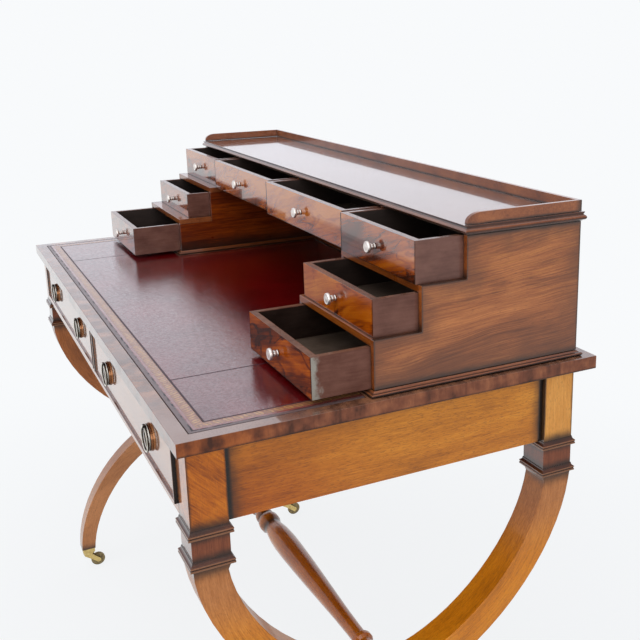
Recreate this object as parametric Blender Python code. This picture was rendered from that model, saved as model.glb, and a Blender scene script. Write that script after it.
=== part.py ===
"""Writing desk with a stepped drawer superstructure on curule end supports.

Metres, +Z up. X runs along the desk, the drawers face -Y, and the floor is z = 0.
The origin lies on the floor under the middle of the desk top.
"""
import math

import bmesh
import bpy
from mathutils import Matrix, Vector

# Fits between pieces
SEAT_GAP = 0.0003
DRAWER_SIDE_GAP = 0.0006
DRAWER_TOP_GAP = 0.0008

# Desk top and leather
DESK_WIDTH = 1.140
DESK_DEPTH = 0.582
DESK_HEIGHT = 0.770
TOP_THICKNESS = 0.018
LEATHER_MARGIN = 0.021
LEATHER_THICKNESS = 0.0017
LEATHER_GROOVE = 0.0010
LEATHER_BACK_MARGIN = 0.004

# Frieze
FRIEZE_HEIGHT = 0.098
FRIEZE_THICKNESS = 0.018
FRIEZE_RECESS = 0.006
POST = 0.0467
OVERHANG = 0.0116
BACK_OVERHANG = 0.0288
LOWER_RAIL = 0.0135
UPPER_RAIL = 0.0073
MUNTIN = 0.018
RUNNER_REACH = 0.022
GUIDE_HEIGHT = 0.012
BEARER_REACH = 0.014

# End supports
COLLAR_HEIGHT = 0.011
COLLAR_PROJECTION = 0.0042
NECK = 0.029
LEG_WIDTH = 0.044
LEG_DEPTH = 0.042
UPPER_ARC_ROUNDNESS = 1.7
LOWER_ARC_ROUNDNESS = 1.78
UPPER_ARC_DROP = 0.270
CROWN_TRIM = 0.005
LOWER_CROWN_WIDTH = 0.038
LOWER_CROWN_DEPTH = 0.038
FOOT_INSET = 0.009
FOOT_WIDTH = 0.030
FOOT_DEPTH = 0.0295
FOOT_SHOULDER = 0.0015
ARC_STEPS = 18

# Stretcher
STRETCHER_RADIUS = 0.0205
STRETCHER_NECK = 0.0115
STRETCHER_RING = 0.0195
STRETCHER_END = 0.0175
STRETCHER_BEAD = 0.0160
STRETCHER_MIDDLE = 0.066
STRETCHER_TAIL = 0.085
STRETCHER_SIDES = 16

# Frieze drawers and ring handles
FRIEZE_DRAWER_BACK_GAP = 0.030
FRIEZE_FRONT = 0.020
BEAD_WIDTH = 0.004
BEAD_HEIGHT = 0.003
HANDLE_SPACING = 0.262
PLATE_RADIUS = 0.0185
PLATE_HEIGHT = 0.0042
PLATE_RIM = 0.0036
PLATE_SIDES = 24
RING_RADIUS = 0.0165
RING_WIRE = 0.0016
RING_GAP = 0.0005
EYE_HEIGHT = 0.0150
EYE_CLEARANCE = 0.0004
EYE_WALL = 0.0012
EYE_WIDTH = 0.0050
EYE_SIDES = 12
RING_STEPS = 26

# Castors
WHEEL_RADIUS = 0.0155
WHEEL_WIDTH = 0.009
WHEEL_HUB = 0.0025
WHEEL_TREAD = 0.0045
WHEEL_SIDES = 20
AXLE_RADIUS = 0.0022
AXLE_CLEARANCE = 0.0004
CASTOR_TRAIL = 0.020
FORK_PLATE = 0.0095
FORK_PLATE_THICKNESS = 0.0035
FORK_CHEEK = 0.0025
FORK_SIDE_GAP = 0.0006
FORK_BOSS = 0.0055
FORK_WHEEL_GAP = 0.0012
PIN_RADIUS = 0.004
PIN_LENGTH = 0.0075
PIN_CLEARANCE = 0.0003
CUP_FLOOR = 0.009
CUP_DEPTH = 0.010
CUP_WALL = 0.0018
CUP_BOSS = 0.0115

# Superstructure
SUPER_END_INSET = 0.0165
SUPER_BACK_INSET = 0.0223
SIDE_BOARD = 0.008
BANK_WIDTH = 0.235
BOTTOM_TIER_DEPTH = 0.3084
MIDDLE_TIER_DEPTH = 0.2415
TOP_TIER_DEPTH = 0.1766
BASE_HEIGHT = 0.0072
BASE_PROJECTION = 0.0066
BASE_BACK_STRIP = 0.013
BOTTOM_OPENING = 0.0552
LEDGE = 0.0095
MIDDLE_OPENING = 0.0493
SHELF = 0.0095
TOP_OPENING = 0.0563
PARTITION = 0.008
SHELF_TOP = 0.0125
CORNICE_PROJECTION = 0.0055
GALLERY_HEIGHT = 0.015
GALLERY_THICKNESS = 0.006
GALLERY_ROUND = 0.021
GALLERY_TOE = 0.0025

# Small drawers and knobs
DRAWER_FRONT = 0.010
DRAWER_SIDE = 0.008
DRAWER_FLOOR = 0.0048
DRAWER_BACK_GAP = 0.004
KNOB_RADIUS = 0.008
KNOB_LENGTH = 0.0135
KNOB_SIDES = 14

# How far each drawer stands open
OPEN_FRIEZE_LEFT = 0.0
OPEN_FRIEZE_RIGHT = 0.0015
OPEN_BOTTOM_LEFT = 0.092
OPEN_BOTTOM_RIGHT = 0.079
OPEN_MIDDLE_LEFT = 0.046
OPEN_MIDDLE_RIGHT = 0.063
OPEN_TOP_LEFT = 0.048
OPEN_TOP_CENTRE_LEFT = 0.053
OPEN_TOP_CENTRE_RIGHT = 0.062
OPEN_TOP_RIGHT = 0.069

# Levels and planes that follow from the sizes above
TOP_UNDERSIDE = DESK_HEIGHT - TOP_THICKNESS
FRIEZE_TOP = TOP_UNDERSIDE - SEAT_GAP
FRIEZE_BOTTOM = TOP_UNDERSIDE - FRIEZE_HEIGHT
POST_OUTER_X = DESK_WIDTH / 2 - OVERHANG
POST_INNER_X = POST_OUTER_X - POST
LEG_X = POST_OUTER_X - POST / 2
POST_FRONT_Y = -DESK_DEPTH / 2 + OVERHANG
POST_BACK_Y = DESK_DEPTH / 2 - BACK_OVERHANG
SUPPORT_Y = (POST_FRONT_Y + POST_BACK_Y) / 2
SUPPORT_REACH = (POST_BACK_Y - POST_FRONT_Y) / 2
COLLAR_1_TOP = FRIEZE_BOTTOM - SEAT_GAP
COLLAR_2_TOP = COLLAR_1_TOP - COLLAR_HEIGHT - NECK
ARC_TOP = COLLAR_2_TOP - COLLAR_HEIGHT
JOINT_Z = ARC_TOP - UPPER_ARC_DROP + CROWN_TRIM
SWIVEL_TOP = 2 * WHEEL_RADIUS + FORK_WHEEL_GAP + SEAT_GAP
CUP_RIM = SWIVEL_TOP + CUP_FLOOR + CUP_DEPTH
FOOT_LEVEL = CUP_RIM + SEAT_GAP
LOWER_ARC_RISE = JOINT_Z - SEAT_GAP + CROWN_TRIM - FOOT_LEVEL
FOOT_REACH = SUPPORT_REACH - FOOT_INSET
FOOT_Y = (SUPPORT_Y - FOOT_REACH + FOOT_DEPTH / 2, SUPPORT_Y + FOOT_REACH - FOOT_DEPTH / 2)

SUPER_X = DESK_WIDTH / 2 - SUPER_END_INSET
SUPER_BACK = DESK_DEPTH / 2 - SUPER_BACK_INSET
BANK_INNER_X = SUPER_X - BANK_WIDTH
BOTTOM_FRONT = SUPER_BACK - BOTTOM_TIER_DEPTH
MIDDLE_FRONT = SUPER_BACK - MIDDLE_TIER_DEPTH
TOP_FRONT = SUPER_BACK - TOP_TIER_DEPTH
BASE_TOP = DESK_HEIGHT + BASE_HEIGHT
LEDGE_BOTTOM = BASE_TOP + BOTTOM_OPENING
LEDGE_TOP = LEDGE_BOTTOM + LEDGE
SHELF_BOTTOM = LEDGE_TOP + MIDDLE_OPENING
SHELF_LEVEL = SHELF_BOTTOM + SHELF
TOP_BOTTOM = SHELF_LEVEL + TOP_OPENING
TOP_LEVEL = TOP_BOTTOM + SHELF_TOP

SIDES = (("left", -1), ("right", 1))


def clear_scene():
    for old in list(bpy.data.objects):
        bpy.data.objects.remove(old, do_unlink=True)


def make_material(name, colour, roughness, metallic=0.0):
    material = bpy.data.materials.new(name)
    material.use_nodes = True
    shader = material.node_tree.nodes["Principled BSDF"]
    shader.inputs["Base Color"].default_value = (*colour, 1.0)
    shader.inputs["Roughness"].default_value = roughness
    shader.inputs["Metallic"].default_value = metallic
    return material


def finish_mesh(name, bm):
    """Turn a closed bmesh into a mesh with outward faces."""
    bmesh.ops.recalc_face_normals(bm, faces=bm.faces)
    mesh = bpy.data.meshes.new(name)
    bm.to_mesh(mesh)
    bm.free()
    return mesh


def add_object(name, mesh, material, place=(0.0, 0.0, 0.0), parent=None, smooth=False):
    """Link a mesh as a named piece; place is the piece's origin in the desk's frame."""
    piece = bpy.data.objects.new(name, mesh)
    bpy.context.scene.collection.objects.link(piece)
    piece.location = place
    if parent is not None:
        piece.parent = parent
        piece.location = Vector(place) - parent.location
    if not mesh.materials:
        mesh.materials.append(material)
    if smooth:
        mesh.shade_smooth()
        mesh.set_sharp_from_angle(angle=math.radians(35))
    return piece


def loft(rings, closed=False):
    """Skin a list of equal vertex rings, capped at both ends unless the loft closes on itself."""
    bm = bmesh.new()
    loops = [[bm.verts.new(point) for point in ring] for ring in rings]
    pairs = list(zip(loops, loops[1:]))
    if closed:
        pairs.append((loops[-1], loops[0]))
    else:
        bm.faces.new(list(reversed(loops[0])))
        bm.faces.new(loops[-1])
    count = len(loops[0])
    for lower, upper in pairs:
        for i in range(count):
            j = (i + 1) % count
            bm.faces.new((lower[i], lower[j], upper[j], upper[i]))
    return bm


def prism(outline, along, low, high):
    """Extrude a flat outline along 'x', 'y' or 'z'; its points are the other two axes in order."""
    def ring(level):
        if along == "x":
            return [(level, a, b) for a, b in outline]
        if along == "y":
            return [(a, level, b) for a, b in outline]
        return [(a, b, level) for a, b in outline]
    return loft([ring(low), ring(high)])


def block(low, high):
    outline = [(low[0], low[1]), (high[0], low[1]), (high[0], high[1]), (low[0], high[1])]
    return prism(outline, "z", low[2], high[2])


def grow(outline, amount):
    """Offset a counter-clockwise outline outwards with mitred corners."""
    grown = []
    count = len(outline)
    for i in range(count):
        before = Vector(outline[i - 1])
        here = Vector(outline[i])
        after = Vector(outline[(i + 1) % count])
        first = (here - before).normalized()
        second = (after - here).normalized()
        out_1 = Vector((first.y, -first.x))
        out_2 = Vector((second.y, -second.x))
        mitre = (out_1 + out_2) / (1 + out_1.dot(out_2))
        grown.append(tuple(here + mitre * amount))
    return grown


def turned(profile, sides, phase=0.0, closed=False):
    """Turn a profile of (radius, height) pairs about Z."""
    rings = []
    for radius, height in profile:
        angles = [phase + math.tau * i / sides for i in range(sides)]
        rings.append([(radius * math.cos(a), radius * math.sin(a), height) for a in angles])
    return loft(rings, closed)


def transformed(bm, matrix):
    bmesh.ops.transform(bm, matrix=matrix, verts=bm.verts)
    return bm


def boolean(name, base, tools, operation):
    """Join or cut closed bodies and return the resulting mesh."""
    body = bpy.data.objects.new(name, finish_mesh(name, base))
    bpy.context.scene.collection.objects.link(body)
    helpers = []
    for tool in tools:
        helper = bpy.data.objects.new(name + "_tool", finish_mesh(name + "_tool", tool))
        helper.hide_render = True
        helper.display_type = "WIRE"
        bpy.context.scene.collection.objects.link(helper)
        modifier = body.modifiers.new(operation.lower(), "BOOLEAN")
        modifier.object = helper
        modifier.operation = operation
        modifier.solver = "EXACT"
        helpers.append(helper)
    graph = bpy.context.evaluated_depsgraph_get()
    result = bpy.data.meshes.new_from_object(body.evaluated_get(graph))
    for spare in helpers + [body]:
        bpy.data.objects.remove(spare, do_unlink=True)
    return result


def mirrored(points, sign):
    return [(sign * point[0], *point[1:]) for point in points]


# Desk top and leather

def leather_outline():
    """Inverted T: a bar across the front and a stem that runs back into the recess."""
    bar_x = DESK_WIDTH / 2 - LEATHER_MARGIN
    bar_front = -DESK_DEPTH / 2 + LEATHER_MARGIN
    bar_back = BOTTOM_FRONT - BASE_PROJECTION - LEATHER_BACK_MARGIN
    stem_x = BANK_INNER_X - BASE_PROJECTION - LEATHER_BACK_MARGIN
    stem_back = SUPER_BACK - BASE_BACK_STRIP - BASE_PROJECTION - LEATHER_BACK_MARGIN
    return [
        (-bar_x, bar_front), (bar_x, bar_front), (bar_x, bar_back), (stem_x, bar_back),
        (stem_x, stem_back), (-stem_x, stem_back), (-stem_x, bar_back), (-bar_x, bar_back),
    ]


def make_desk_top(wood, leather):
    half = (DESK_WIDTH / 2, DESK_DEPTH / 2)
    slab = block((-half[0], -half[1], TOP_UNDERSIDE), (half[0], half[1], DESK_HEIGHT))
    outline = leather_outline()
    pocket_floor = DESK_HEIGHT - LEATHER_THICKNESS - SEAT_GAP
    pocket = prism(grow(outline, LEATHER_GROOVE), "z", pocket_floor, DESK_HEIGHT + TOP_THICKNESS)
    add_object("desk_top", boolean("desk_top", slab, [pocket], "DIFFERENCE"), wood)
    sheet = prism(outline, "z", DESK_HEIGHT - LEATHER_THICKNESS, DESK_HEIGHT)
    add_object("leather_panel", finish_mesh("leather_panel", sheet), leather)


# End supports

def collar_steps(top):
    """Levels and projections of one moulded collar: cove, bead, groove, bead."""
    shape = ((0.0, 0.0), (0.0, 0.2), (0.22, 0.3), (0.36, 0.55), (0.45, 0.95), (0.54, 1.0),
             (0.64, 0.98), (0.68, 0.78), (0.74, 0.78), (0.78, 1.0), (1.0, 1.0), (1.0, 0.0))
    return [(top - COLLAR_HEIGHT * drop, COLLAR_PROJECTION * out) for drop, out in shape]


def square_ring(x, y, z, half):
    corners = ((-half, -half), (half, -half), (half, half), (-half, half))
    return [(x + a, y + b, z) for a, b in corners]


def post_rings(x, y):
    """A corner post from the desk top down to the underside of its second collar."""
    rings = [square_ring(x, y, FRIEZE_TOP, POST / 2)]
    for level, out in collar_steps(COLLAR_1_TOP) + collar_steps(COLLAR_2_TOP):
        rings.append(square_ring(x, y, level, POST / 2 + out))
    return rings


def arc_point(reach, rise, roundness, share):
    """Point on the outer edge of an arc; share runs from 0 at one end to 1 at the other."""
    angle = math.pi * share
    power = 2 / roundness
    side = math.cos(angle)
    across = -math.copysign(abs(side) ** power, side) * reach
    return Vector((across, math.sin(angle) ** power * rise))


def arc_rings(x, start_z, reach, rise, roundness, ends, crown):
    """Sections along an arc; ends and crown are (width, depth) of the member there.

    A positive rise makes an arch, a negative one a hanging arc. The outer edge is planed
    flat at the crown, where the two arcs are glued together.
    """
    flat = abs(rise) - CROWN_TRIM
    rings = []
    count = 2 * ARC_STEPS
    nudge = 0.25 / count
    for i in range(1, count):
        share = i / count
        edge = arc_point(reach, rise, roundness, share)
        ahead = arc_point(reach, rise, roundness, share + nudge)
        along = (ahead - arc_point(reach, rise, roundness, share - nudge)).normalized()
        inward = Vector((along.y, -along.x)) if rise > 0 else Vector((-along.y, along.x))
        blend = math.sin(math.pi * share)
        width = ends[0] + (crown[0] - ends[0]) * blend
        depth = ends[1] + (crown[1] - ends[1]) * blend
        inner = edge + inward * depth
        edge.y = math.copysign(min(abs(edge.y), flat), rise)
        points = [(edge, -1), (edge, 1), (inner, 1), (inner, -1)]
        rings.append([(x + s * width / 2, SUPPORT_Y + p.x, start_z + p.y) for p, s in points])
    return rings


def make_upper_support(name, x, wood):
    """Two corner posts with moulded collars, joined by a hanging arc."""
    front_y = POST_FRONT_Y + POST / 2
    back_y = POST_BACK_Y - POST / 2
    front = post_rings(x, front_y)
    section = (LEG_WIDTH, LEG_DEPTH)
    arc = arc_rings(x, ARC_TOP, SUPPORT_REACH, -UPPER_ARC_DROP, UPPER_ARC_ROUNDNESS, section, section)
    back = [[ring[3], ring[2], ring[1], ring[0]] for ring in reversed(post_rings(x, back_y))]
    add_object(name, finish_mesh(name, loft(front + arc + back)), wood)


def make_lower_support(name, x, wood):
    """Arch on two shouldered feet that meets the hanging arc at its crown."""
    tenon_end = SWIVEL_TOP + CUP_FLOOR + SEAT_GAP
    ends, crown = (FOOT_WIDTH, FOOT_DEPTH), (LOWER_CROWN_WIDTH, LOWER_CROWN_DEPTH)
    arc = arc_rings(x, FOOT_LEVEL, FOOT_REACH, LOWER_ARC_RISE, LOWER_ARC_ROUNDNESS, ends, crown)

    def section(z, side, inset):
        outer = SUPPORT_Y + side * (FOOT_REACH - inset)
        inner = SUPPORT_Y + side * (FOOT_REACH - FOOT_DEPTH + inset)
        half = FOOT_WIDTH / 2 - inset
        return [(x - half, outer, z), (x + half, outer, z), (x + half, inner, z), (x - half, inner, z)]

    def foot(side):
        inset = FOOT_SHOULDER + CUP_WALL + SEAT_GAP
        tenon = [section(tenon_end, side, inset), section(FOOT_LEVEL, side, inset)]
        return tenon + [section(FOOT_LEVEL, side, 0.0)]
    rings = foot(-1) + arc + list(reversed(foot(1)))
    add_object(name, finish_mesh(name, loft(rings)), wood)


def stretcher_profile(half):
    """Half of the turning, from the middle ring outwards, as (radius, distance) pairs."""
    neck, ring, bead, end = STRETCHER_NECK, STRETCHER_RING, STRETCHER_BEAD, STRETCHER_END
    middle = ((neck, 0.0), (neck, 0.13), (bead * 0.9, 0.17), (bead, 0.27), (bead, 0.38), (bead * 0.86, 0.48),
              (ring * 0.84, 0.53), (ring * 0.97, 0.61), (ring, 0.72), (ring * 0.97, 0.83), (ring * 0.8, 0.93),
              (bead * 0.9, 1.0))
    tail = ((neck, 1.0), (bead, 0.95), (bead, 0.87), (neck, 0.82),
            (neck * 1.08, 0.68), (end * 0.95, 0.42), (end, 0.26), (end, 0.0))
    belly = STRETCHER_RADIUS
    baluster = ((belly * 0.86, 0.05), (belly * 0.95, 0.1), (belly, 0.17), (belly * 0.985, 0.26),
                (belly * 0.93, 0.38), (belly * 0.84, 0.52), (belly * 0.73, 0.67), (belly * 0.62, 0.82),
                (neck * 1.02, 0.94))
    reach = half - STRETCHER_MIDDLE - STRETCHER_TAIL
    swell = [(radius, STRETCHER_MIDDLE + reach * share) for radius, share in baluster]
    start = [(radius, STRETCHER_MIDDLE * share) for radius, share in middle]
    stop = [(radius, half - STRETCHER_TAIL * share) for radius, share in tail]
    return start + swell + stop


def make_stretcher(wood):
    half = LEG_X - LEG_WIDTH / 2 - SEAT_GAP
    side = stretcher_profile(half)
    profile = [(radius, -distance) for radius, distance in reversed(side)] + side[1:]
    bm = transformed(turned(profile, STRETCHER_SIDES), Matrix.Rotation(math.pi / 2, 4, "Y"))
    mesh = finish_mesh("stretcher", bm)
    add_object("stretcher", mesh, wood, (0.0, SUPPORT_Y, JOINT_Z), smooth=True)


# Frieze

def make_frieze_end(name, sign, wood):
    """End panel with the drawer's runner and side guide along its foot."""
    outer = POST_OUTER_X - FRIEZE_RECESS
    inner = outer - FRIEZE_THICKNESS
    runner_top = FRIEZE_BOTTOM + LOWER_RAIL
    tip = POST_INNER_X - RUNNER_REACH
    guide_top = runner_top + GUIDE_HEIGHT
    outline = [(tip, FRIEZE_BOTTOM), (outer, FRIEZE_BOTTOM), (outer, FRIEZE_TOP), (inner, FRIEZE_TOP),
               (inner, guide_top), (POST_INNER_X, guide_top), (POST_INNER_X, runner_top), (tip, runner_top)]
    front = POST_FRONT_Y + POST + SEAT_GAP
    back = POST_BACK_Y - POST - SEAT_GAP
    add_object(name, finish_mesh(name, prism(mirrored(outline, sign), "y", front, back)), wood)


def make_frieze_back(wood):
    outer = POST_BACK_Y - FRIEZE_RECESS
    reach = POST_INNER_X - SEAT_GAP
    low = (-reach, outer - FRIEZE_THICKNESS, FRIEZE_BOTTOM)
    bm = block(low, (reach, outer, FRIEZE_TOP))
    add_object("frieze_back", finish_mesh("frieze_back", bm), wood)


def make_frieze_front(wood):
    """Lower rail, upper rail and muntin in one outline, with the bearer between the drawers."""
    reach = POST_INNER_X - SEAT_GAP
    half = MUNTIN / 2
    low = FRIEZE_BOTTOM + LOWER_RAIL
    high = FRIEZE_TOP - UPPER_RAIL
    outline = [
        (-reach, FRIEZE_BOTTOM), (reach, FRIEZE_BOTTOM), (reach, low), (half, low),
        (half, high), (reach, high), (reach, FRIEZE_TOP), (-reach, FRIEZE_TOP),
        (-reach, high), (-half, high), (-half, low), (-reach, low),
    ]
    rail_back = POST_FRONT_Y + FRIEZE_THICKNESS
    frame = prism(outline, "y", POST_FRONT_Y, rail_back)
    back = POST_BACK_Y - FRIEZE_RECESS - FRIEZE_THICKNESS - SEAT_GAP
    reach_in = half + BEARER_REACH
    guide_top = (low + high) / 2
    tee = [(-reach_in, FRIEZE_BOTTOM), (reach_in, FRIEZE_BOTTOM), (reach_in, low), (half, low),
           (half, guide_top), (-half, guide_top), (-half, low), (-reach_in, low)]
    bearer = prism(tee, "y", (POST_FRONT_Y + rail_back) / 2, back)
    add_object("frieze_front_frame", boolean("frieze_front_frame", frame, [bearer], "UNION"), wood)


# Drawers

def tray(width, depth, height, front, side, floor):
    """Open box whose front face lies at y = 0 and whose underside lies at z = 0."""
    half = width / 2
    inner = half - side

    def ring(x, y_front, y_back, z):
        return [(-x, y_front, z), (x, y_front, z), (x, y_back, z), (-x, y_back, z)]
    return loft([
        ring(half, 0.0, depth, 0.0), ring(half, 0.0, depth, height),
        ring(inner, front, depth - side, height), ring(inner, front, depth - side, floor),
    ])


def drawer_levels(bottom, opening):
    return bottom + SEAT_GAP, opening - SEAT_GAP - DRAWER_TOP_GAP


def make_small_drawer(name, x_low, x_high, front, opened, tier_depth, level, opening, wood, metal):
    width = x_high - x_low - 2 * DRAWER_SIDE_GAP
    depth = tier_depth - SIDE_BOARD - DRAWER_BACK_GAP
    bottom, height = drawer_levels(level, opening)
    bm = tray(width, depth, height, DRAWER_FRONT, DRAWER_SIDE, DRAWER_FLOOR)
    place = ((x_low + x_high) / 2, front - opened, bottom)
    drawer = add_object("drawer_" + name, finish_mesh("drawer_" + name, bm), wood, place)
    knob_place = (place[0], place[1] - SEAT_GAP, bottom + height / 2)
    add_object("knob_" + name, knob_mesh("knob_" + name), metal, knob_place, drawer, smooth=True)


def knob_mesh(name):
    """Turned knob with a small rose, a neck and a flat domed head, pointing to -Y."""
    shape = ((0.62, 0.0), (0.72, 0.09), (0.62, 0.2), (0.4, 0.29), (0.37, 0.45), (0.55, 0.57),
             (0.92, 0.66), (1.0, 0.77), (0.97, 0.87), (0.76, 0.96), (0.35, 1.0))
    profile = [(KNOB_RADIUS * radius, KNOB_LENGTH * length) for radius, length in shape]
    bm = transformed(turned(profile, KNOB_SIDES), Matrix.Rotation(math.pi / 2, 4, "X"))
    return finish_mesh(name, bm)


def make_small_drawers(wood, metal):
    bank = (BANK_INNER_X + SIDE_BOARD, SUPER_X - SIDE_BOARD)
    middle = (PARTITION / 2, BANK_INNER_X)
    bottom = (BOTTOM_FRONT, BOTTOM_TIER_DEPTH, BASE_TOP, BOTTOM_OPENING)
    centre = (MIDDLE_FRONT, MIDDLE_TIER_DEPTH, LEDGE_TOP, MIDDLE_OPENING)
    top = (TOP_FRONT, TOP_TIER_DEPTH, SHELF_LEVEL, TOP_OPENING)
    drawers = (
        ("bottom_left", bank, -1, bottom, OPEN_BOTTOM_LEFT),
        ("bottom_right", bank, 1, bottom, OPEN_BOTTOM_RIGHT),
        ("middle_left", bank, -1, centre, OPEN_MIDDLE_LEFT),
        ("middle_right", bank, 1, centre, OPEN_MIDDLE_RIGHT),
        ("top_left", bank, -1, top, OPEN_TOP_LEFT),
        ("top_centre_left", middle, -1, top, OPEN_TOP_CENTRE_LEFT),
        ("top_centre_right", middle, 1, top, OPEN_TOP_CENTRE_RIGHT),
        ("top_right", bank, 1, top, OPEN_TOP_RIGHT),
    )
    for name, span, sign, tier, opened in drawers:
        x_low, x_high = sorted((sign * span[0], sign * span[1]))
        front, depth, level, opening = tier
        make_small_drawer(name, x_low, x_high, front, opened, depth, level, opening, wood, metal)


def make_frieze_drawer(name, sign, opened, wood, metal):
    """Drawer with a cockbead left standing round its sunk front."""
    low = MUNTIN / 2 + DRAWER_SIDE_GAP
    high = POST_INNER_X - DRAWER_SIDE_GAP
    front = POST_FRONT_Y - BEAD_HEIGHT
    back = POST_BACK_Y - FRIEZE_RECESS - FRIEZE_THICKNESS - FRIEZE_DRAWER_BACK_GAP
    opening = FRIEZE_TOP - UPPER_RAIL - FRIEZE_BOTTOM - LOWER_RAIL
    bottom, height = drawer_levels(FRIEZE_BOTTOM + LOWER_RAIL, opening)
    bm = tray(high - low, back - front, height, FRIEZE_FRONT + BEAD_HEIGHT, DRAWER_SIDE, DRAWER_FLOOR)
    inside = (high - low) / 2 - BEAD_WIDTH
    sunk = block((-inside, -BEAD_HEIGHT, BEAD_WIDTH), (inside, BEAD_HEIGHT, height - BEAD_WIDTH))
    place = (sign * (low + high) / 2, front - opened, bottom)
    node = "frieze_drawer_" + name
    drawer = add_object(node, boolean(node, bm, [sunk], "DIFFERENCE"), wood, place)
    for label, side in (("outer", sign), ("inner", -sign)):
        x = place[0] + side * HANDLE_SPACING / 2
        centre = (x, POST_FRONT_Y - opened - SEAT_GAP, bottom + height / 2)
        make_handle(name + "_" + label, centre, metal, drawer)


def plate_mesh(name, wire_out):
    """Round dished plate facing -Y, with the eye that carries the ring near its top."""
    high, low, boss = PLATE_HEIGHT, PLATE_HEIGHT * 0.3, PLATE_HEIGHT * 0.65
    rim, dish = PLATE_RADIUS, PLATE_RADIUS - PLATE_RIM
    profile = [(rim, 0.0), (rim, low), (rim - PLATE_RIM * 0.2, low), (rim - PLATE_RIM * 0.2, high * 0.85),
               (rim - PLATE_RIM * 0.35, high), (rim - PLATE_RIM * 0.7, high),
               (dish, low), (dish * 0.6, low), (dish * 0.5, boss), (dish * 0.2, boss)]
    plate = transformed(turned(profile, PLATE_SIDES), Matrix.Rotation(math.pi / 2, 4, "X"))
    hole = RING_WIRE + EYE_CLEARANCE
    outer = hole + EYE_WALL
    half = EYE_WIDTH / 2
    loop = [(outer, -half), (outer, half), (hole, half), (hole, -half)]
    eye = transformed(turned(loop, EYE_SIDES, closed=True), Matrix.Rotation(math.pi / 2, 4, "Y"))
    transformed(eye, Matrix.Translation((0.0, -wire_out, EYE_HEIGHT)))
    return boolean(name, plate, [eye], "UNION")


def ring_mesh(name):
    """Ring that hangs from its own top: the origin is the middle of the wire there."""
    rings = []
    major, minor = RING_STEPS, 8
    for i in range(major):
        turn = math.tau * i / major
        spoke = Vector((math.sin(turn), 0.0, math.cos(turn)))
        centre = spoke * RING_RADIUS - Vector((0.0, 0.0, RING_RADIUS))
        wire = [math.tau * j / minor for j in range(minor)]
        rings.append([centre + spoke * math.cos(a) * RING_WIRE + Vector((0.0, math.sin(a) * RING_WIRE, 0.0))
                      for a in wire])
    return finish_mesh(name, loft(rings, closed=True))


def make_handle(name, centre, metal, drawer):
    wire_out = PLATE_HEIGHT + RING_GAP + RING_WIRE
    plate = add_object("handle_plate_" + name, plate_mesh("handle_plate_" + name, wire_out), metal,
                       centre, drawer, smooth=True)
    hinge = (centre[0], centre[1] - wire_out, centre[2] + EYE_HEIGHT)
    ring = add_object("handle_ring_" + name, ring_mesh("handle_ring_" + name), metal, hinge, smooth=True)
    ring.parent = plate
    ring.location = Vector(hinge) - Vector(centre)


# Castors

def rounded_ring(half_x, half_y, squareness, z, sides=16):
    """Ring between a circle (squareness 0) and a rectangle (squareness 1)."""
    ring = []
    for i in range(sides):
        angle = math.tau * i / sides
        across, along = math.cos(angle), math.sin(angle)
        stretch = 1 / max(abs(across), abs(along)) ** squareness
        ring.append((half_x * across * stretch, half_y * along * stretch, z))
    return ring


def cup_mesh(name):
    """Socket for the foot above, with a blind bore for the castor's pin below."""
    outer = (FOOT_WIDTH / 2 - FOOT_SHOULDER, FOOT_DEPTH / 2 - FOOT_SHOULDER)
    inner = (outer[0] - CUP_WALL, outer[1] - CUP_WALL)
    bore = PIN_RADIUS + PIN_CLEARANCE
    floor = CUP_FLOOR
    rim = CUP_FLOOR + CUP_DEPTH
    return finish_mesh(name, loft([
        rounded_ring(bore, bore, 0.0, PIN_LENGTH + PIN_CLEARANCE),
        rounded_ring(bore, bore, 0.0, 0.0),
        rounded_ring(CUP_BOSS, CUP_BOSS, 0.0, 0.0),
        rounded_ring(CUP_BOSS, CUP_BOSS, 0.1, floor * 0.35),
        rounded_ring(outer[0] - CUP_WALL, outer[1] - CUP_WALL, 0.7, floor * 0.8),
        rounded_ring(*outer, 1.0, floor * 1.1),
        rounded_ring(*outer, 1.0, rim),
        rounded_ring(*inner, 1.0, rim),
        rounded_ring(*inner, 1.0, floor),
    ]))


def cheek_outline():
    """Fork cheek, seen along the axle: the plate's edge sweeping down to the axle boss."""
    top = WHEEL_RADIUS + FORK_WHEEL_GAP
    plate_low = top - FORK_PLATE_THICKNESS
    outline = [(-FORK_PLATE * 0.6, plate_low), (-FORK_PLATE * 0.6, top - SEAT_GAP),
               (FORK_PLATE * 0.9, top - SEAT_GAP)]
    for i in range(9):
        angle = math.radians(50 - 26 * i)
        outline.append((CASTOR_TRAIL + FORK_BOSS * math.cos(angle), FORK_BOSS * math.sin(angle)))
    return outline


def fork_mesh(name):
    """Swivel plate with its pin, two cheeks and the axle; the origin is the foot of the swivel axis."""
    axle_z = WHEEL_RADIUS
    top = 2 * WHEEL_RADIUS + FORK_WHEEL_GAP
    low = top - FORK_PLATE_THICKNESS
    plate = turned([(FORK_PLATE, low), (FORK_PLATE, top), (PIN_RADIUS, top),
                    (PIN_RADIUS, top + SEAT_GAP + PIN_LENGTH)], 20)
    gap = WHEEL_WIDTH / 2 + FORK_SIDE_GAP
    tools = []
    for sign in (-1, 1):
        cheek = prism(cheek_outline(), "x", *sorted((sign * gap, sign * (gap + FORK_CHEEK))))
        tools.append(transformed(cheek, Matrix.Translation((0.0, 0.0, axle_z))))
    reach = gap + FORK_CHEEK / 2
    axle = turned([(AXLE_RADIUS, -reach), (AXLE_RADIUS, reach)], 12)
    transformed(axle, Matrix.Rotation(math.pi / 2, 4, "Y"))
    tools.append(transformed(axle, Matrix.Translation((0.0, CASTOR_TRAIL, axle_z))))
    return boolean(name, plate, tools, "UNION")


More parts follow.
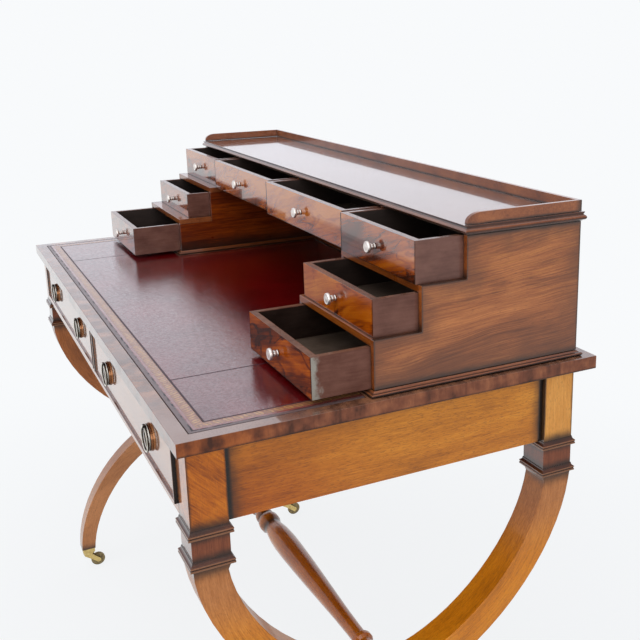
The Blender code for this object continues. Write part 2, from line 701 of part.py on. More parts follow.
def wheel_mesh(name):
    """Solid wheel with rounded rims on a bore; a flat of the rim stands on the floor."""
    rim = WHEEL_RADIUS / math.cos(math.pi / WHEEL_SIDES)
    half = WHEEL_WIDTH / 2
    bore = AXLE_RADIUS + AXLE_CLEARANCE
    side = ((rim, 0.5), (rim - WHEEL_TREAD * 0.2, 0.75), (rim - WHEEL_TREAD, 0.8),
            (bore + WHEEL_HUB, 1.0), (bore, 1.0))
    profile = [(radius, -half * share) for radius, share in reversed(side)]
    profile += [(radius, half * share) for radius, share in side]
    bm = turned(profile, WHEEL_SIDES, math.pi / WHEEL_SIDES, closed=True)
    return finish_mesh(name, transformed(bm, Matrix.Rotation(math.pi / 2, 4, "Y")))


def make_castor(name, x, y, metal):
    cup, fork, wheel = ("castor_%s_%s" % (piece, name) for piece in ("cup", "fork", "wheel"))
    add_object(cup, cup_mesh(cup), metal, (x, y, SWIVEL_TOP), smooth=True)
    carrier = add_object(fork, fork_mesh(fork), metal, (x, y, 0.0), smooth=True)
    axle = (x, y + CASTOR_TRAIL, WHEEL_RADIUS)
    add_object(wheel, wheel_mesh(wheel), metal, axle, carrier, smooth=True)


# Superstructure

def make_base(wood):
    """U-shaped floor of the two drawer banks, with a moulded edge."""
    inner_back = SUPER_BACK - BASE_BACK_STRIP
    outline = [
        (-SUPER_X, BOTTOM_FRONT), (-BANK_INNER_X, BOTTOM_FRONT), (-BANK_INNER_X, inner_back),
        (BANK_INNER_X, inner_back), (BANK_INNER_X, BOTTOM_FRONT), (SUPER_X, BOTTOM_FRONT),
        (SUPER_X, SUPER_BACK), (-SUPER_X, SUPER_BACK),
    ]
    low = DESK_HEIGHT + SEAT_GAP
    steps = ((0.0, 0.82), (0.16, 0.82), (0.22, 0.94), (0.36, 1.0), (0.5, 0.96), (0.6, 0.8), (0.66, 0.55),
             (0.8, 0.28), (1.0, 0.1))
    rings = []
    for share, out in steps:
        z = low + (BASE_TOP - low) * share
        rings.append([(x, y, z) for x, y in grow(outline, BASE_PROJECTION * out)])
    add_object("superstructure_base", finish_mesh("superstructure_base", loft(rings)), wood)


def make_bank_sides(wood):
    low = BASE_TOP + SEAT_GAP
    high = TOP_BOTTOM - SEAT_GAP
    back = SUPER_BACK - SIDE_BOARD - SEAT_GAP
    stepped = [
        (BOTTOM_FRONT, low), (SUPER_BACK, low), (SUPER_BACK, high), (TOP_FRONT, high),
        (TOP_FRONT, SHELF_LEVEL), (MIDDLE_FRONT, SHELF_LEVEL),
        (MIDDLE_FRONT, LEDGE_TOP), (BOTTOM_FRONT, LEDGE_TOP),
    ]
    ledge_seat = LEDGE_BOTTOM - SEAT_GAP
    shelf_seat = SHELF_BOTTOM - SEAT_GAP
    behind_ledge = MIDDLE_FRONT
    inner = [(BOTTOM_FRONT, low), (back, low), (back, shelf_seat), (behind_ledge, shelf_seat),
             (behind_ledge, ledge_seat), (BOTTOM_FRONT, ledge_seat)]
    for label, sign in SIDES:
        outer_x = sorted((sign * (SUPER_X - SIDE_BOARD), sign * SUPER_X))
        inner_x = sorted((sign * BANK_INNER_X, sign * (BANK_INNER_X + SIDE_BOARD)))
        add_object("bank_outer_side_" + label,
                   finish_mesh("bank_outer_side_" + label, prism(stepped, "x", *outer_x)), wood)
        add_object("bank_inner_side_" + label,
                   finish_mesh("bank_inner_side_" + label, prism(inner, "x", *inner_x)), wood)


def make_ledges(wood):
    """Board over each bottom drawer; its front step covers the inner side's edge."""
    far = SUPER_X - SIDE_BOARD - SEAT_GAP
    near = BANK_INNER_X + SIDE_BOARD + SEAT_GAP
    step = MIDDLE_FRONT - SEAT_GAP
    back = SUPER_BACK - SIDE_BOARD - SEAT_GAP
    outline = [(BANK_INNER_X, BOTTOM_FRONT), (far, BOTTOM_FRONT), (far, back),
               (near, back), (near, step), (BANK_INNER_X, step)]
    for label, sign in SIDES:
        bm = prism(mirrored(outline, sign), "z", LEDGE_BOTTOM, LEDGE_TOP)
        add_object("ledge_" + label, finish_mesh("ledge_" + label, bm), wood)


def make_top_tier_shelf(wood):
    """Long board under the top drawers, forward over the banks, with three partitions on it."""
    far = SUPER_X - SIDE_BOARD - SEAT_GAP
    back = SUPER_BACK - SIDE_BOARD - SEAT_GAP
    outline = [
        (-far, MIDDLE_FRONT), (-BANK_INNER_X, MIDDLE_FRONT), (-BANK_INNER_X, TOP_FRONT),
        (BANK_INNER_X, TOP_FRONT), (BANK_INNER_X, MIDDLE_FRONT),
        (far, MIDDLE_FRONT), (far, back), (-far, back),
    ]
    board = prism(outline, "z", SHELF_BOTTOM, SHELF_LEVEL)
    rooted = SHELF_BOTTOM + SHELF / 2
    high = TOP_BOTTOM - SEAT_GAP
    edge = back - SIDE_BOARD / 2
    bank = (BANK_INNER_X, BANK_INNER_X + SIDE_BOARD)
    spans = [(-bank[1], -bank[0]), (-PARTITION / 2, PARTITION / 2), bank]
    partitions = [block((low, TOP_FRONT + SEAT_GAP, rooted), (top, edge, high)) for low, top in spans]
    add_object("top_tier_shelf", boolean("top_tier_shelf", board, partitions, "UNION"), wood)


def make_super_back(wood):
    reach = SUPER_X - SIDE_BOARD - SEAT_GAP
    low = (-reach, SUPER_BACK - SIDE_BOARD, BASE_TOP + SEAT_GAP)
    bm = block(low, (reach, SUPER_BACK, TOP_BOTTOM - SEAT_GAP))
    add_object("superstructure_back", finish_mesh("superstructure_back", bm), wood)


def make_shelf_top(wood):
    """Top board with a cornice moulding all round."""
    steps = ((0.0, 0.12), (0.1, 0.3), (0.16, 0.72), (0.26, 0.95), (0.4, 1.0), (0.54, 0.9), (0.62, 0.68),
             (0.68, 0.45), (0.84, 0.38), (0.88, 0.6), (1.0, 0.6))
    outline = [(-SUPER_X, TOP_FRONT), (SUPER_X, TOP_FRONT), (SUPER_X, SUPER_BACK), (-SUPER_X, SUPER_BACK)]
    rings = []
    for share, out in steps:
        z = TOP_BOTTOM + SHELF_TOP * share
        rings.append([(x, y, z) for x, y in grow(outline, CORNICE_PROJECTION * out)])
    add_object("shelf_top", finish_mesh("shelf_top", loft(rings)), wood)


def make_gallery(wood):
    """Low upstand along the ends and the back, mitred, with front ends that curve down to a low toe."""
    low = TOP_LEVEL + SEAT_GAP
    outer_x, inner_x = SUPER_X, SUPER_X - GALLERY_THICKNESS
    outer_y, inner_y = SUPER_BACK, SUPER_BACK - GALLERY_THICKNESS
    rounding = 8
    end = []
    for i in range(rounding + 1):
        angle = math.pi / 2 * i / rounding
        rise = GALLERY_TOE + (GALLERY_HEIGHT - GALLERY_TOE) * math.sin(angle)
        end.append((TOP_FRONT + GALLERY_ROUND * (1 - math.cos(angle)), rise))

    def upright(outer, inner, rise):
        return [(*outer, low), (*inner, low), (*inner, low + rise), (*outer, low + rise)]
    right = [upright((outer_x, y), (inner_x, y), rise) for y, rise in end]
    left = [upright((-outer_x, y), (-inner_x, y), rise) for y, rise in reversed(end)]
    corners = []
    for sign in (1, -1):
        corners.append(upright((sign * outer_x, outer_y), (sign * inner_x, inner_y), GALLERY_HEIGHT))
    add_object("gallery", finish_mesh("gallery", loft(right + corners + left)), wood)


def main():
    clear_scene()
    top_wood = make_material("mahogany_top", (0.20, 0.055, 0.022), 0.25)
    frame_wood = make_material("mahogany_frame", (0.36, 0.13, 0.032), 0.28)
    case_wood = make_material("mahogany_case", (0.26, 0.105, 0.042), 0.28)
    drawer_wood = make_material("mahogany_drawer", (0.27, 0.085, 0.025), 0.25)
    leather = make_material("oxblood_leather", (0.09, 0.004, 0.006), 0.35)
    knob_metal = make_material("pale_brass", (0.80, 0.74, 0.64), 0.18, 1.0)
    brass = make_material("antique_brass", (0.55, 0.40, 0.16), 0.30, 1.0)

    make_desk_top(top_wood, leather)
    for (label, sign), opened in zip(SIDES, (OPEN_FRIEZE_LEFT, OPEN_FRIEZE_RIGHT)):
        make_upper_support("end_support_upper_" + label, sign * LEG_X, frame_wood)
        make_lower_support("end_support_lower_" + label, sign * LEG_X, frame_wood)
        make_frieze_end("frieze_end_" + label, sign, frame_wood)
        make_frieze_drawer(label, sign, opened, drawer_wood, brass)
        for place, y in zip(("front", "rear"), FOOT_Y):
            make_castor(place + "_" + label, sign * LEG_X, y, brass)
    make_stretcher(frame_wood)
    make_frieze_back(frame_wood)
    make_frieze_front(frame_wood)
    make_base(case_wood)
    make_bank_sides(case_wood)
    make_ledges(case_wood)
    make_top_tier_shelf(case_wood)
    make_super_back(case_wood)
    make_shelf_top(case_wood)
    make_gallery(case_wood)
    make_small_drawers(drawer_wood, knob_metal)


main()
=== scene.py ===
"""Looks of the writing desk: finishes, turned metalwork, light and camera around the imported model."""
import math

import bmesh
import bpy
from mathutils import Matrix, Vector


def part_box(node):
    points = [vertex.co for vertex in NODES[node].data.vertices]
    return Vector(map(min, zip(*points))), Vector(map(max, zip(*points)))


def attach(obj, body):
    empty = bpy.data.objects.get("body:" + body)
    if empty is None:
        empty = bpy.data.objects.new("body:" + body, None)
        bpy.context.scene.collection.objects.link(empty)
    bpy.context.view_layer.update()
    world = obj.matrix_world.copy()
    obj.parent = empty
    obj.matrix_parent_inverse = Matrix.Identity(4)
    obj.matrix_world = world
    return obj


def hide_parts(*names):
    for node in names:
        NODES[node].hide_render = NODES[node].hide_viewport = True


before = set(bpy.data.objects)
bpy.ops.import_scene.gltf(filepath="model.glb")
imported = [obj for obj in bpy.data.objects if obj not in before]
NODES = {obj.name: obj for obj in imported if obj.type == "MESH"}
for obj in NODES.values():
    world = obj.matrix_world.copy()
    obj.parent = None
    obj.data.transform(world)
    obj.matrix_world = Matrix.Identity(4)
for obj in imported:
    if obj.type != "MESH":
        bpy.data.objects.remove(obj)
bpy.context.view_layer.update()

SMALL_DRAWERS = ("bottom_left", "bottom_right", "middle_left", "middle_right",
                 "top_left", "top_centre_left", "top_centre_right", "top_right")
HANDLES = ("left_outer", "left_inner", "right_outer", "right_inner")
CASTORS = ("front_left", "front_right", "rear_left", "rear_right")
SIDES = ("left", "right")

# Sizes of the finish
COLLAR_HEIGHT = 0.011
COLLAR_PROJECTION = 0.0042
COLLAR_BEADS = ((0.55, 0.05), (0.89, 0.09))
NECK = 0.029
TIER_WALL = 0.012
POST_WIDTH = 0.0467
GALLERY_BOARD = 0.006
DRAWER_FRONT_BOARD = 0.01
FRIEZE_FRONT_BOARD = 0.023
DRAWER_SIDE_BOARD = 0.008
EDGE_ROUNDING = 0.0007
PULL_ROUNDING = 0.0003
CASTOR_ROUNDING = 0.0004
LEATHER_ROUNDING = 0.0002
WELD_REACH = 0.00001
SMOOTH_ANGLE = math.radians(32)
GROOVE = 0.0066
TOOLING_MIDDLE = 0.017
TOOLING_WIDTH = 0.0134
TOOLING_PERIOD = 0.0125
INNER_LINE = 0.024
BLIND_LINE = 0.002
LINE_SOFTNESS = 0.0006
PANEL_LINE_X = 0.374
STRETCHER_STAIN = 0.034
STRETCHER_MIDDLE = 0.066

# Places read from the frame
TOP_LOW, TOP_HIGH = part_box("desk_top")
LEATHER_LOW, LEATHER_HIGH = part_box("leather_panel")
POST_LOW, POST_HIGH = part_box("end_support_upper_right")
PANEL_LOW, PANEL_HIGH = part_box("frieze_end_right")
SIDE_LOW, SIDE_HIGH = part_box("bank_outer_side_right")
GALLERY_LOW, GALLERY_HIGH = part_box("gallery")
SUPPORT_Y = (POST_LOW.y + POST_HIGH.y) / 2
SUPPORT_REACH = (POST_HIGH.y - POST_LOW.y) / 2
COLLAR_TOP = PANEL_LOW.z
NECK_TOP = COLLAR_TOP - COLLAR_HEIGHT
NECK_FOOT = NECK_TOP - NECK
ARC_TOP = NECK_FOOT - COLLAR_HEIGHT
POST_INNER_X = POST_HIGH.x - COLLAR_PROJECTION - POST_WIDTH
ARCH_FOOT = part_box("castor_cup_front_right")[1].z
MIDDLE_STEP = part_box("drawer_middle_right")[0].z
TOP_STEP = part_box("drawer_top_right")[0].z


def tier_front(drawer):
    """Front of the tier that a drawer slides in, from the drawer's own depth."""
    low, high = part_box(drawer)
    return SIDE_HIGH.y - TIER_WALL - (high.y - low.y)


MIDDLE_FRONT = tier_front("drawer_middle_right")
TOP_FRONT = tier_front("drawer_top_right")


# Shader building

HOLLOW_SAMPLES = 6
SEED_SHIFT = (1.7, 0.9, 2.3)


def new_node(tree, kind, **settings):
    """Add a shader node with its settings."""
    node = tree.nodes.new("ShaderNode" + kind)
    for name, value in settings.items():
        setattr(node, name, value)
    return node


def wire(tree, *pairs):
    """Join pairs of an output and an input."""
    for output, socket in pairs:
        tree.links.new(output, socket)


class Look:
    """One Principled material and short names for the nodes that feed it."""

    def __init__(self, name):
        self.material = bpy.data.materials.new(name)
        self.material.use_nodes = True
        self.tree = self.material.node_tree
        self.shader = self.tree.nodes["Principled BSDF"]
        self.texture = new_node(self.tree, "TexCoord")
        self.place = self.texture.outputs["Object"]
        self.x, self.y, self.z = self.split(self.place)
        self.normal = self.split(self.texture.outputs["Normal"])

    def link(self, socket, value):
        """Feed a socket from a node or with a constant."""
        if isinstance(value, bpy.types.NodeSocket):
            self.tree.links.new(value, socket)
        else:
            socket.default_value = value

    def set(self, **values):
        """Feed shader inputs, named in lower case with underscores."""
        for name, value in values.items():
            self.link(self.shader.inputs[name.replace("_", " ").title().replace("Ior", "IOR")], value)

    def math(self, operation, first, second=0.0):
        node = new_node(self.tree, "Math", operation=operation)
        for socket, value in zip(node.inputs, (first, second)):
            self.link(socket, value)
        return node.outputs[0]

    def chain(self, operation, first, *others):
        """Join any number of values by one operation."""
        for other in others:
            first = self.math(operation, first, other)
        return first

    def add(self, *values):
        return self.chain("ADD", *values)

    def times(self, *values):
        return self.chain("MULTIPLY", *values)

    def most(self, *values):
        return self.chain("MAXIMUM", *values)

    def least(self, *values):
        return self.chain("MINIMUM", *values)

    def minus(self, first, second):
        return self.math("SUBTRACT", first, second)

    def size(self, value):
        return self.math("ABSOLUTE", value)

    def length(self, first, second):
        return self.math("SQRT", self.add(self.times(first, first), self.times(second, second)))

    def above(self, value, limit):
        return self.math("GREATER_THAN", value, limit)

    def below(self, value, limit):
        return self.math("LESS_THAN", value, limit)

    def rest(self, share):
        return self.minus(1.0, share)

    def choose(self, share, first, second):
        """First value where share is 1, second where it is 0."""
        return self.add(self.times(first, share), self.times(second, self.rest(share)))

    def away(self, value, place):
        """Distance of a coordinate from a place on its axis."""
        return self.size(self.minus(value, place))

    def step(self, value, low, high):
        """0 below low and 1 above high, smooth between them."""
        node = new_node(self.tree, "MapRange", interpolation_type="SMOOTHSTEP")
        self.link(node.inputs["Value"], value)
        self.link(node.inputs["From Min"], low)
        self.link(node.inputs["From Max"], high)
        return node.outputs["Result"]

    def fade(self, value, low, high):
        """1 below low and 0 above high, smooth between them."""
        return self.rest(self.step(value, low, high))

    def band(self, value, centre, half, soft):
        """1 within half of centre, fading out over soft."""
        return self.fade(self.away(value, centre), half, half + soft)

    def split(self, vector):
        node = new_node(self.tree, "SeparateXYZ")
        self.link(node.inputs[0], vector)
        return node.outputs

    def join(self, x, y, z):
        node = new_node(self.tree, "CombineXYZ")
        for socket, value in zip(node.inputs, (x, y, z)):
            self.link(socket, value)
        return node.outputs[0]

    def noise(self, vector, scale=1.0, detail=3.0, roughness=0.5, distortion=0.0):
        node = new_node(self.tree, "TexNoise")
        self.link(node.inputs["Vector"], vector)
        for name, value in (("Scale", scale), ("Detail", detail), ("Roughness", roughness),
                            ("Distortion", distortion)):
            node.inputs[name].default_value = value
        return node.outputs["Fac"]

    def drawn(self, vector, factors, seed=0.0, **settings):
        """Noise with a fineness of its own along each axis, shifted to another place for each seed."""
        node = new_node(self.tree, "VectorMath", operation="MULTIPLY_ADD")
        self.link(node.inputs[0], vector)
        node.inputs[1].default_value = factors
        node.inputs[2].default_value = [seed * shift for shift in SEED_SHIFT]
        return self.noise(node.outputs[0], **settings)

    def grained(self, grain, along, across, seed, **settings):
        """Noise drawn out along the grain."""
        return self.drawn(grain, (along, across, across), seed, **settings)

    def spots(self, scale, seed=0.0, **settings):
        """Noise that is equally fine in all directions."""
        return self.drawn(self.place, (scale, scale, scale), seed, **settings)

    def mix(self, share, first, second):
        node = new_node(self.tree, "Mix", data_type="RGBA")
        self.link(node.inputs[0], share)
        for socket, value in ((node.inputs[6], first), (node.inputs[7], second)):
            if isinstance(value, tuple):
                value = (*value, 1.0)
            self.link(socket, value)
        return node.outputs[2]

    def ramp(self, value, stops):
        node = new_node(self.tree, "ValToRGB")
        elements = node.color_ramp.elements
        while len(elements) < len(stops):
            elements.new(0.5)
        for element, (at, colour) in zip(elements, stops):
            element.position = at
            element.color = (*colour, 1.0)
        self.link(node.inputs[0], value)
        return node.outputs["Color"]

    def hollows(self, reach):
        """1 in corners and grooves, 0 on open surfaces."""
        node = new_node(self.tree, "AmbientOcclusion", samples=HOLLOW_SAMPLES)
        node.inputs["Distance"].default_value = reach
        return self.rest(node.outputs["AO"])

    def bump(self, height, distance, strength, socket="Normal"):
        node = new_node(self.tree, "Bump")
        node.inputs["Distance"].default_value = distance
        node.inputs["Strength"].default_value = strength
        self.link(node.inputs["Height"], height)
        self.link(self.shader.inputs[socket], node.outputs["Normal"])


# Wood

CASE_TONES = ((0.1, 0.024, 0.006), (0.315, 0.092, 0.023), (0.55, 0.196, 0.05))
BOARD_TONES = ((0.1, 0.025, 0.008), (0.24, 0.068, 0.02), (0.4, 0.135, 0.04))
MOULDING_TONES = ((0.02, 0.007, 0.004), (0.064, 0.022, 0.012), (0.14, 0.052, 0.028))
EDGE_TONES = ((0.09, 0.018, 0.002), (0.27, 0.062, 0.006), (0.46, 0.13, 0.014))
# Darker tones for the boards of the recess: painted shade
SHADED_RECESS_TONES = ((0.03, 0.004, 0.001), (0.12, 0.015, 0.001), (0.27, 0.048, 0.002))
CORNER_TONES = ((0.045, 0.01, 0.002), (0.19, 0.042, 0.005), (0.38, 0.095, 0.01))
PLAIN_TONES = ((0.165, 0.04, 0.007), (0.35, 0.105, 0.02), (0.52, 0.195, 0.048))
GOLD_TONES = ((0.32, 0.098, 0.004), (0.57, 0.2, 0.012), (0.74, 0.31, 0.03))
AMBER_TONES = ((0.15, 0.024, 0.001), (0.36, 0.078, 0.001), (0.56, 0.15, 0.003))
ORANGE_TONES = ((0.19, 0.038, 0.001), (0.44, 0.108, 0.002), (0.62, 0.19, 0.006))
PALE_TONES = ((0.38, 0.134, 0.013), (0.62, 0.255, 0.042), (0.78, 0.37, 0.085))
NECK_TONES = ((0.06, 0.013, 0.005), (0.165, 0.04, 0.013), (0.28, 0.08, 0.028))
# Darker tones for the far arc: painted shade
SHADED_FAR_ARC_TONES = ((0.16, 0.044, 0.008), (0.35, 0.108, 0.024), (0.52, 0.185, 0.05))
LOW_ARC_TONES = ((0.28, 0.078, 0.001), (0.59, 0.184, 0.003), (0.76, 0.29, 0.012))
ARC_TONES = ((0.2, 0.058, 0.012), (0.41, 0.148, 0.04), (0.58, 0.235, 0.078))
TOP_TONES = ((0.05, 0.014, 0.006), (0.17, 0.05, 0.022), (0.29, 0.1, 0.042))
MARGIN_TONES = ((0.075, 0.032, 0.02), (0.195, 0.084, 0.048), (0.37, 0.16, 0.082))
VENEER_TONES = ((0.05, 0.011, 0.004), (0.17, 0.027, 0.003), (0.42, 0.082, 0.002), (0.62, 0.18, 0.008))
TONE_STOPS = (0.26, 0.5, 0.76)
VENEER_STOPS = (0.22, 0.39, 0.55, 0.8)
POLISHED = (0.15, 0.075, 0.052)
PALE_CORNER = (0.3, 0.19, 0.16)
FLECK = (0.54, 0.205, 0.034)
EDGE_SHADE = (0.095, 0.027, 0.009)
SHADE_FROM = 0.018
# Dark colour of old wax and of painted shade in corners, grooves and where parts meet
GRIME_AND_SHADE = (0.02, 0.01, 0.006)
# Light colour of the collar beads: wear, and a painted highlight
WORN_BEAD_AND_PAINTED_HIGHLIGHT = (0.34, 0.15, 0.07)
# Near-black used for real dark joints and cracks and for painted shade in the gaps beside posts and
# frieze drawer fronts
BLACK_WAX_AND_SHADE = (0.006, 0.004, 0.003)
FRONT_SHINE = {"bottom_right": 0.04, "middle_right": 0.24}
# Shift of each front's veneer tone: partly the veneer's own colour, partly painted reflected light on
# the brighter fronts
FRONT_TONE_AND_PAINTED_LIGHT = {"bottom_right": -0.04, "middle_right": 0.13, "top_right": -0.06, "top_centre_right": 0.22,
              "top_centre_left": 0.1}
# Painted gleam: the top row of fronts grows lighter towards its upper edge, as reflected light
TOP_ROW_PAINTED_GLEAM = 0.26
SEAMED = ("top_centre_left", "top_centre_right", "top_right")
SEAM = 0.0042
PORE = (0.06, 0.018, 0.006)
PORE_GRAIN = (170.0, 1250.0, 1250.0)
PORE_DEPTH = 0.00016
RIPPLE_GRAIN = (4.0, 60.0, 60.0)
RIPPLE_DEPTH = 0.0001
POLISH_ROUGHNESS = 0.045

# Refraction of thin wax, of filled wood, of a full polish and of the mirror polish on the fronts
WAXED = 1.36
FILLED = 1.45
GLOSSY = 1.6
MIRROR = 1.65

# Drawer boards, from dark to light
SIDE_BOARD = ((0.2, (0.085, 0.033, 0.024)), (0.8, (0.205, 0.095, 0.072)))
# Inner walls painted in shade, darker than the inner floor
SHADED_INNER_WALL = ((0.2, (0.008, 0.004, 0.003)), (0.8, (0.032, 0.02, 0.016)))
INNER_FLOOR = ((0.2, (0.056, 0.037, 0.027)), (0.8, (0.145, 0.106, 0.082)))
UPPER_RIM = ((0.3, (0.1, 0.04, 0.024)), (0.7, (0.22, 0.1, 0.062)))
RIM_DEPTH = 0.0012
RUBBED = (0.34, 0.33, 0.29)
WORN = ("bottom_right",)
SMALL_SEED, SMALL_SEED_STEP = 11.0, 3.7
FRIEZE_SEED, FRIEZE_SEED_STEP = 51.0, 5.3


def along_axis(look, axis):
    """Coordinates with the grain first, for boards whose grain runs along x or y."""
    return look.place if axis == "x" else look.join(look.y, look.z, look.x)


def along_arc(look, centre_z, hanging):
    """Coordinates with the grain first, running down a post and round the arc below or above it."""
    across = look.away(look.y, SUPPORT_Y)
    rise = look.minus(centre_z, look.z) if hanging else look.minus(look.z, centre_z)
    bent = look.most(rise, 0.0)
    straight = look.least(rise, 0.0)
    radius = look.length(across, bent)
    turn = look.math("ARCTAN2", bent, across)
    run = look.add(look.times(turn, SUPPORT_REACH), straight)
    return look.join(run, radius, look.x)


def around_half(look, *parts):
    """Tone around 0.5 from noises, each with its weight."""
    tone = 0.5
    for value, weight in parts:
        tone = look.add(tone, look.times(look.minus(value, 0.5), weight))
    return tone


def figure(look, grain, seed, streaks=0.42):
    """Tone across a board: broad clouds, streaks along the grain and fine fibre."""
    broad = look.grained(grain, 4.5, 16.0, seed, detail=4.0, distortion=0.9)
    streak = look.grained(grain, 14.0, 340.0, seed, detail=4.0, distortion=1.0)
    fibre = look.grained(grain, 60.0, 720.0, seed, detail=2.0)
    return around_half(look, (broad, 0.62), (streak, streaks), (fibre, 0.34))


def toned(look, tone, tones):
    """Colour of a tone between a dark, a middle and a light one."""
    return look.ramp(tone, tuple(zip(TONE_STOPS, tones)))


def waxed_and_shaded(look, colour, lines, strength=0.92):
    """Old dark wax and painted shade along lines where parts meet and under edges: each is a distance
    from the line and how far the darkening reaches.
    """
    wander = look.spots(30.0, detail=4.0, roughness=0.6)
    share = 0.0
    for distance, reach in lines:
        ragged = look.add(look.times(distance, 1 / reach), look.times(wander, 0.9))
        share = look.most(share, look.fade(ragged, 0.35, 1.75))
    return look.mix(look.times(share, strength), colour, GRIME_AND_SHADE)


def finish_wood(look, grain, colour, seed, lines=(), wax=0.75, wax_reach=0.01, gloss=1.0, ior=WAXED,
                coat_ior=WAXED, dullness=0.24, specular=0.5, pore=0.42):
    """Pores, dark wax and painted shade in the corners and a mirror-like polish on top of a wood colour.
    """
    dashes = look.drawn(grain, PORE_GRAIN, seed * 1.9, detail=2.0)
    pores = look.step(dashes, 0.54, 0.7)
    colour = look.mix(look.times(pores, pore), colour, PORE)
    if lines:
        colour = waxed_and_shaded(look, colour, lines)
    patchy = look.spots(38.0, seed)
    # Painted shade with old wax: corners and grooves found by ambient occlusion darken towards the grime
    # colour, in patches
    hollow_darkening = look.step(look.add(look.hollows(wax_reach), look.times(patchy, 0.35)), 0.36, 0.95)
    colour = look.mix(look.times(hollow_darkening, wax), colour, GRIME_AND_SHADE)
    uneven = look.spots(9.0, seed, detail=4.0)
    look.set(base_color=colour, roughness=look.add(dullness, look.times(uneven, 0.1)), ior=ior)
    look.set(specular_ior_level=specular, coat_weight=gloss, coat_roughness=POLISH_ROUGHNESS,
             coat_ior=coat_ior)
    look.bump(look.minus(look.times(uneven, 0.5), pores), PORE_DEPTH, 0.3)
    ripple = look.drawn(grain, RIPPLE_GRAIN, seed, detail=2.0)
    look.bump(ripple, RIPPLE_DEPTH, 0.22, "Coat Normal")
    return look.material


def board_wood(name, axis, tones, seed, lines_of=None, streaks=0.42, **finish):
    """Mahogany board with the grain along one axis."""
    look = Look(name)
    grain = along_axis(look, axis)
    colour = toned(look, figure(look, grain, seed, streaks), tones)
    lines = lines_of(look) if lines_of else ()
    return finish_wood(look, grain, colour, seed, lines, **finish)


def front_faces(look):
    """1 on faces that look to the front."""
    return look.step(look.normal[1], -0.4, -0.8)


def upper_faces(look):
    """1 on faces that look up."""
    return look.step(look.normal[2], 0.5, 0.9)


def end_faces(look):
    """1 on faces that look to the left or right."""
    return look.step(look.size(look.normal[0]), 0.5, 0.9)


def from_step(look, front, level):
    """Distance behind and below a step of the case side, measured round its inner corner."""
    behind = look.most(look.minus(look.y, front), 0.0)
    beneath = look.most(look.minus(level, look.z), 0.0)
    return look.length(behind, beneath)


def case_side_wood():
    """Stepped case sides: fine level streaks with golden flecks, darker towards every edge."""
    look = Look("mahogany_case_sides")
    wave = look.drawn(look.place, (5.0, 5.0, 9.0), 3.0, detail=2.0)
    lean = look.add(look.minus(look.z, look.times(look.y, 0.09)), look.times(wave, 0.03))
    grain = look.join(look.y, lean, look.x)
    broad = look.grained(grain, 5.0, 22.0, 1.0, detail=4.0, distortion=1.2)
    streak = look.grained(grain, 9.0, 460.0, 1.0, detail=4.0, distortion=0.8)
    fibre = look.grained(grain, 26.0, 1100.0, 4.0)
    tone = around_half(look, (broad, 0.66), (streak, 0.56), (fibre, 0.44))
    colour = toned(look, tone, CASE_TONES)
    flecks = look.step(look.grained(grain, 20.0, 640.0, 8.0), 0.5, 0.72)
    upper = look.step(look.z, SIDE_LOW.z + 0.04, SIDE_LOW.z + 0.14)
    colour = look.mix(look.times(flecks, upper, 0.4), colour, FLECK)
    from_foot = look.minus(look.z, SIDE_LOW.z)
    from_rear = look.minus(SIDE_HIGH.y, look.y)
    from_top = look.minus(SIDE_HIGH.z, look.z)
    from_steps = look.least(from_step(look, MIDDLE_FRONT, MIDDLE_STEP),
                            from_step(look, TOP_FRONT, TOP_STEP), look.minus(look.y, SIDE_LOW.y))
    cloud = look.times(look.spots(26.0, 5.0, detail=4.0), 0.05)
    shade = 0.0
    edges = ((from_foot, 0.08), (from_top, 0.04), (from_steps, 0.045), (from_rear, 0.05))
    for distance, reach in edges:
        shade = look.most(shade, look.fade(look.add(distance, cloud), SHADE_FROM, SHADE_FROM + reach))
    colour = look.mix(look.times(shade, 0.66), colour, EDGE_SHADE)
    # Painted shade with old wax: dark lines along the foot, the top, the steps and the back edge, where
    # the side meets other parts
    colour = waxed_and_shaded(look, colour, ((from_foot, 0.009), (from_top, 0.006), (from_steps, 0.0025),
                                    (from_rear, 0.0035)))
    past_middle = look.above(look.z, MIDDLE_STEP)
    past_top = look.above(look.z, TOP_STEP)
    above_step = look.minus(look.minus(look.z, MIDDLE_STEP),
                            look.times(past_top, TOP_STEP - MIDDLE_STEP))
    by_drawer = look.add(above_step, look.rest(past_middle))
    # Painted shade with old wax on the front edges, where they run down beside the drawers
    edge = waxed_and_shaded(look, toned(look, tone, EDGE_TONES), ((by_drawer, 0.014),))
    colour = look.mix(front_faces(look), colour, edge)
    return finish_wood(look, grain, colour, 1.0, pore=0.34)


def shelf_wood(name, axis, seed):
    """Shelves and ledges: warm orange front edges under a red-brown face."""
    look = Look(name)
    grain = along_axis(look, axis)
    tone = figure(look, grain, seed)
    colour = look.mix(front_faces(look), toned(look, tone, BOARD_TONES), toned(look, tone, EDGE_TONES))
    return finish_wood(look, grain, colour, seed, wax_reach=0.006)


def moulded_wood(name, seed):
    """Mouldings that old wax has turned nearly black, lighter brown on the upward faces along the upper
    arris: wear there, and a painted highlight.
    """
    look = Look(name)
    grain = along_axis(look, "y")
    tone = figure(look, grain, seed)
    # Painted highlight with wear: faces that tilt upwards get the lighter board colour
    worn = look.times(look.step(look.normal[2], 0.35, 0.65), look.fade(look.normal[2], 0.8, 0.97))
    colour = look.mix(worn, toned(look, tone, MOULDING_TONES), toned(look, tone, BOARD_TONES))
    return finish_wood(look, grain, colour, seed, wax=0.9, wax_reach=0.008)


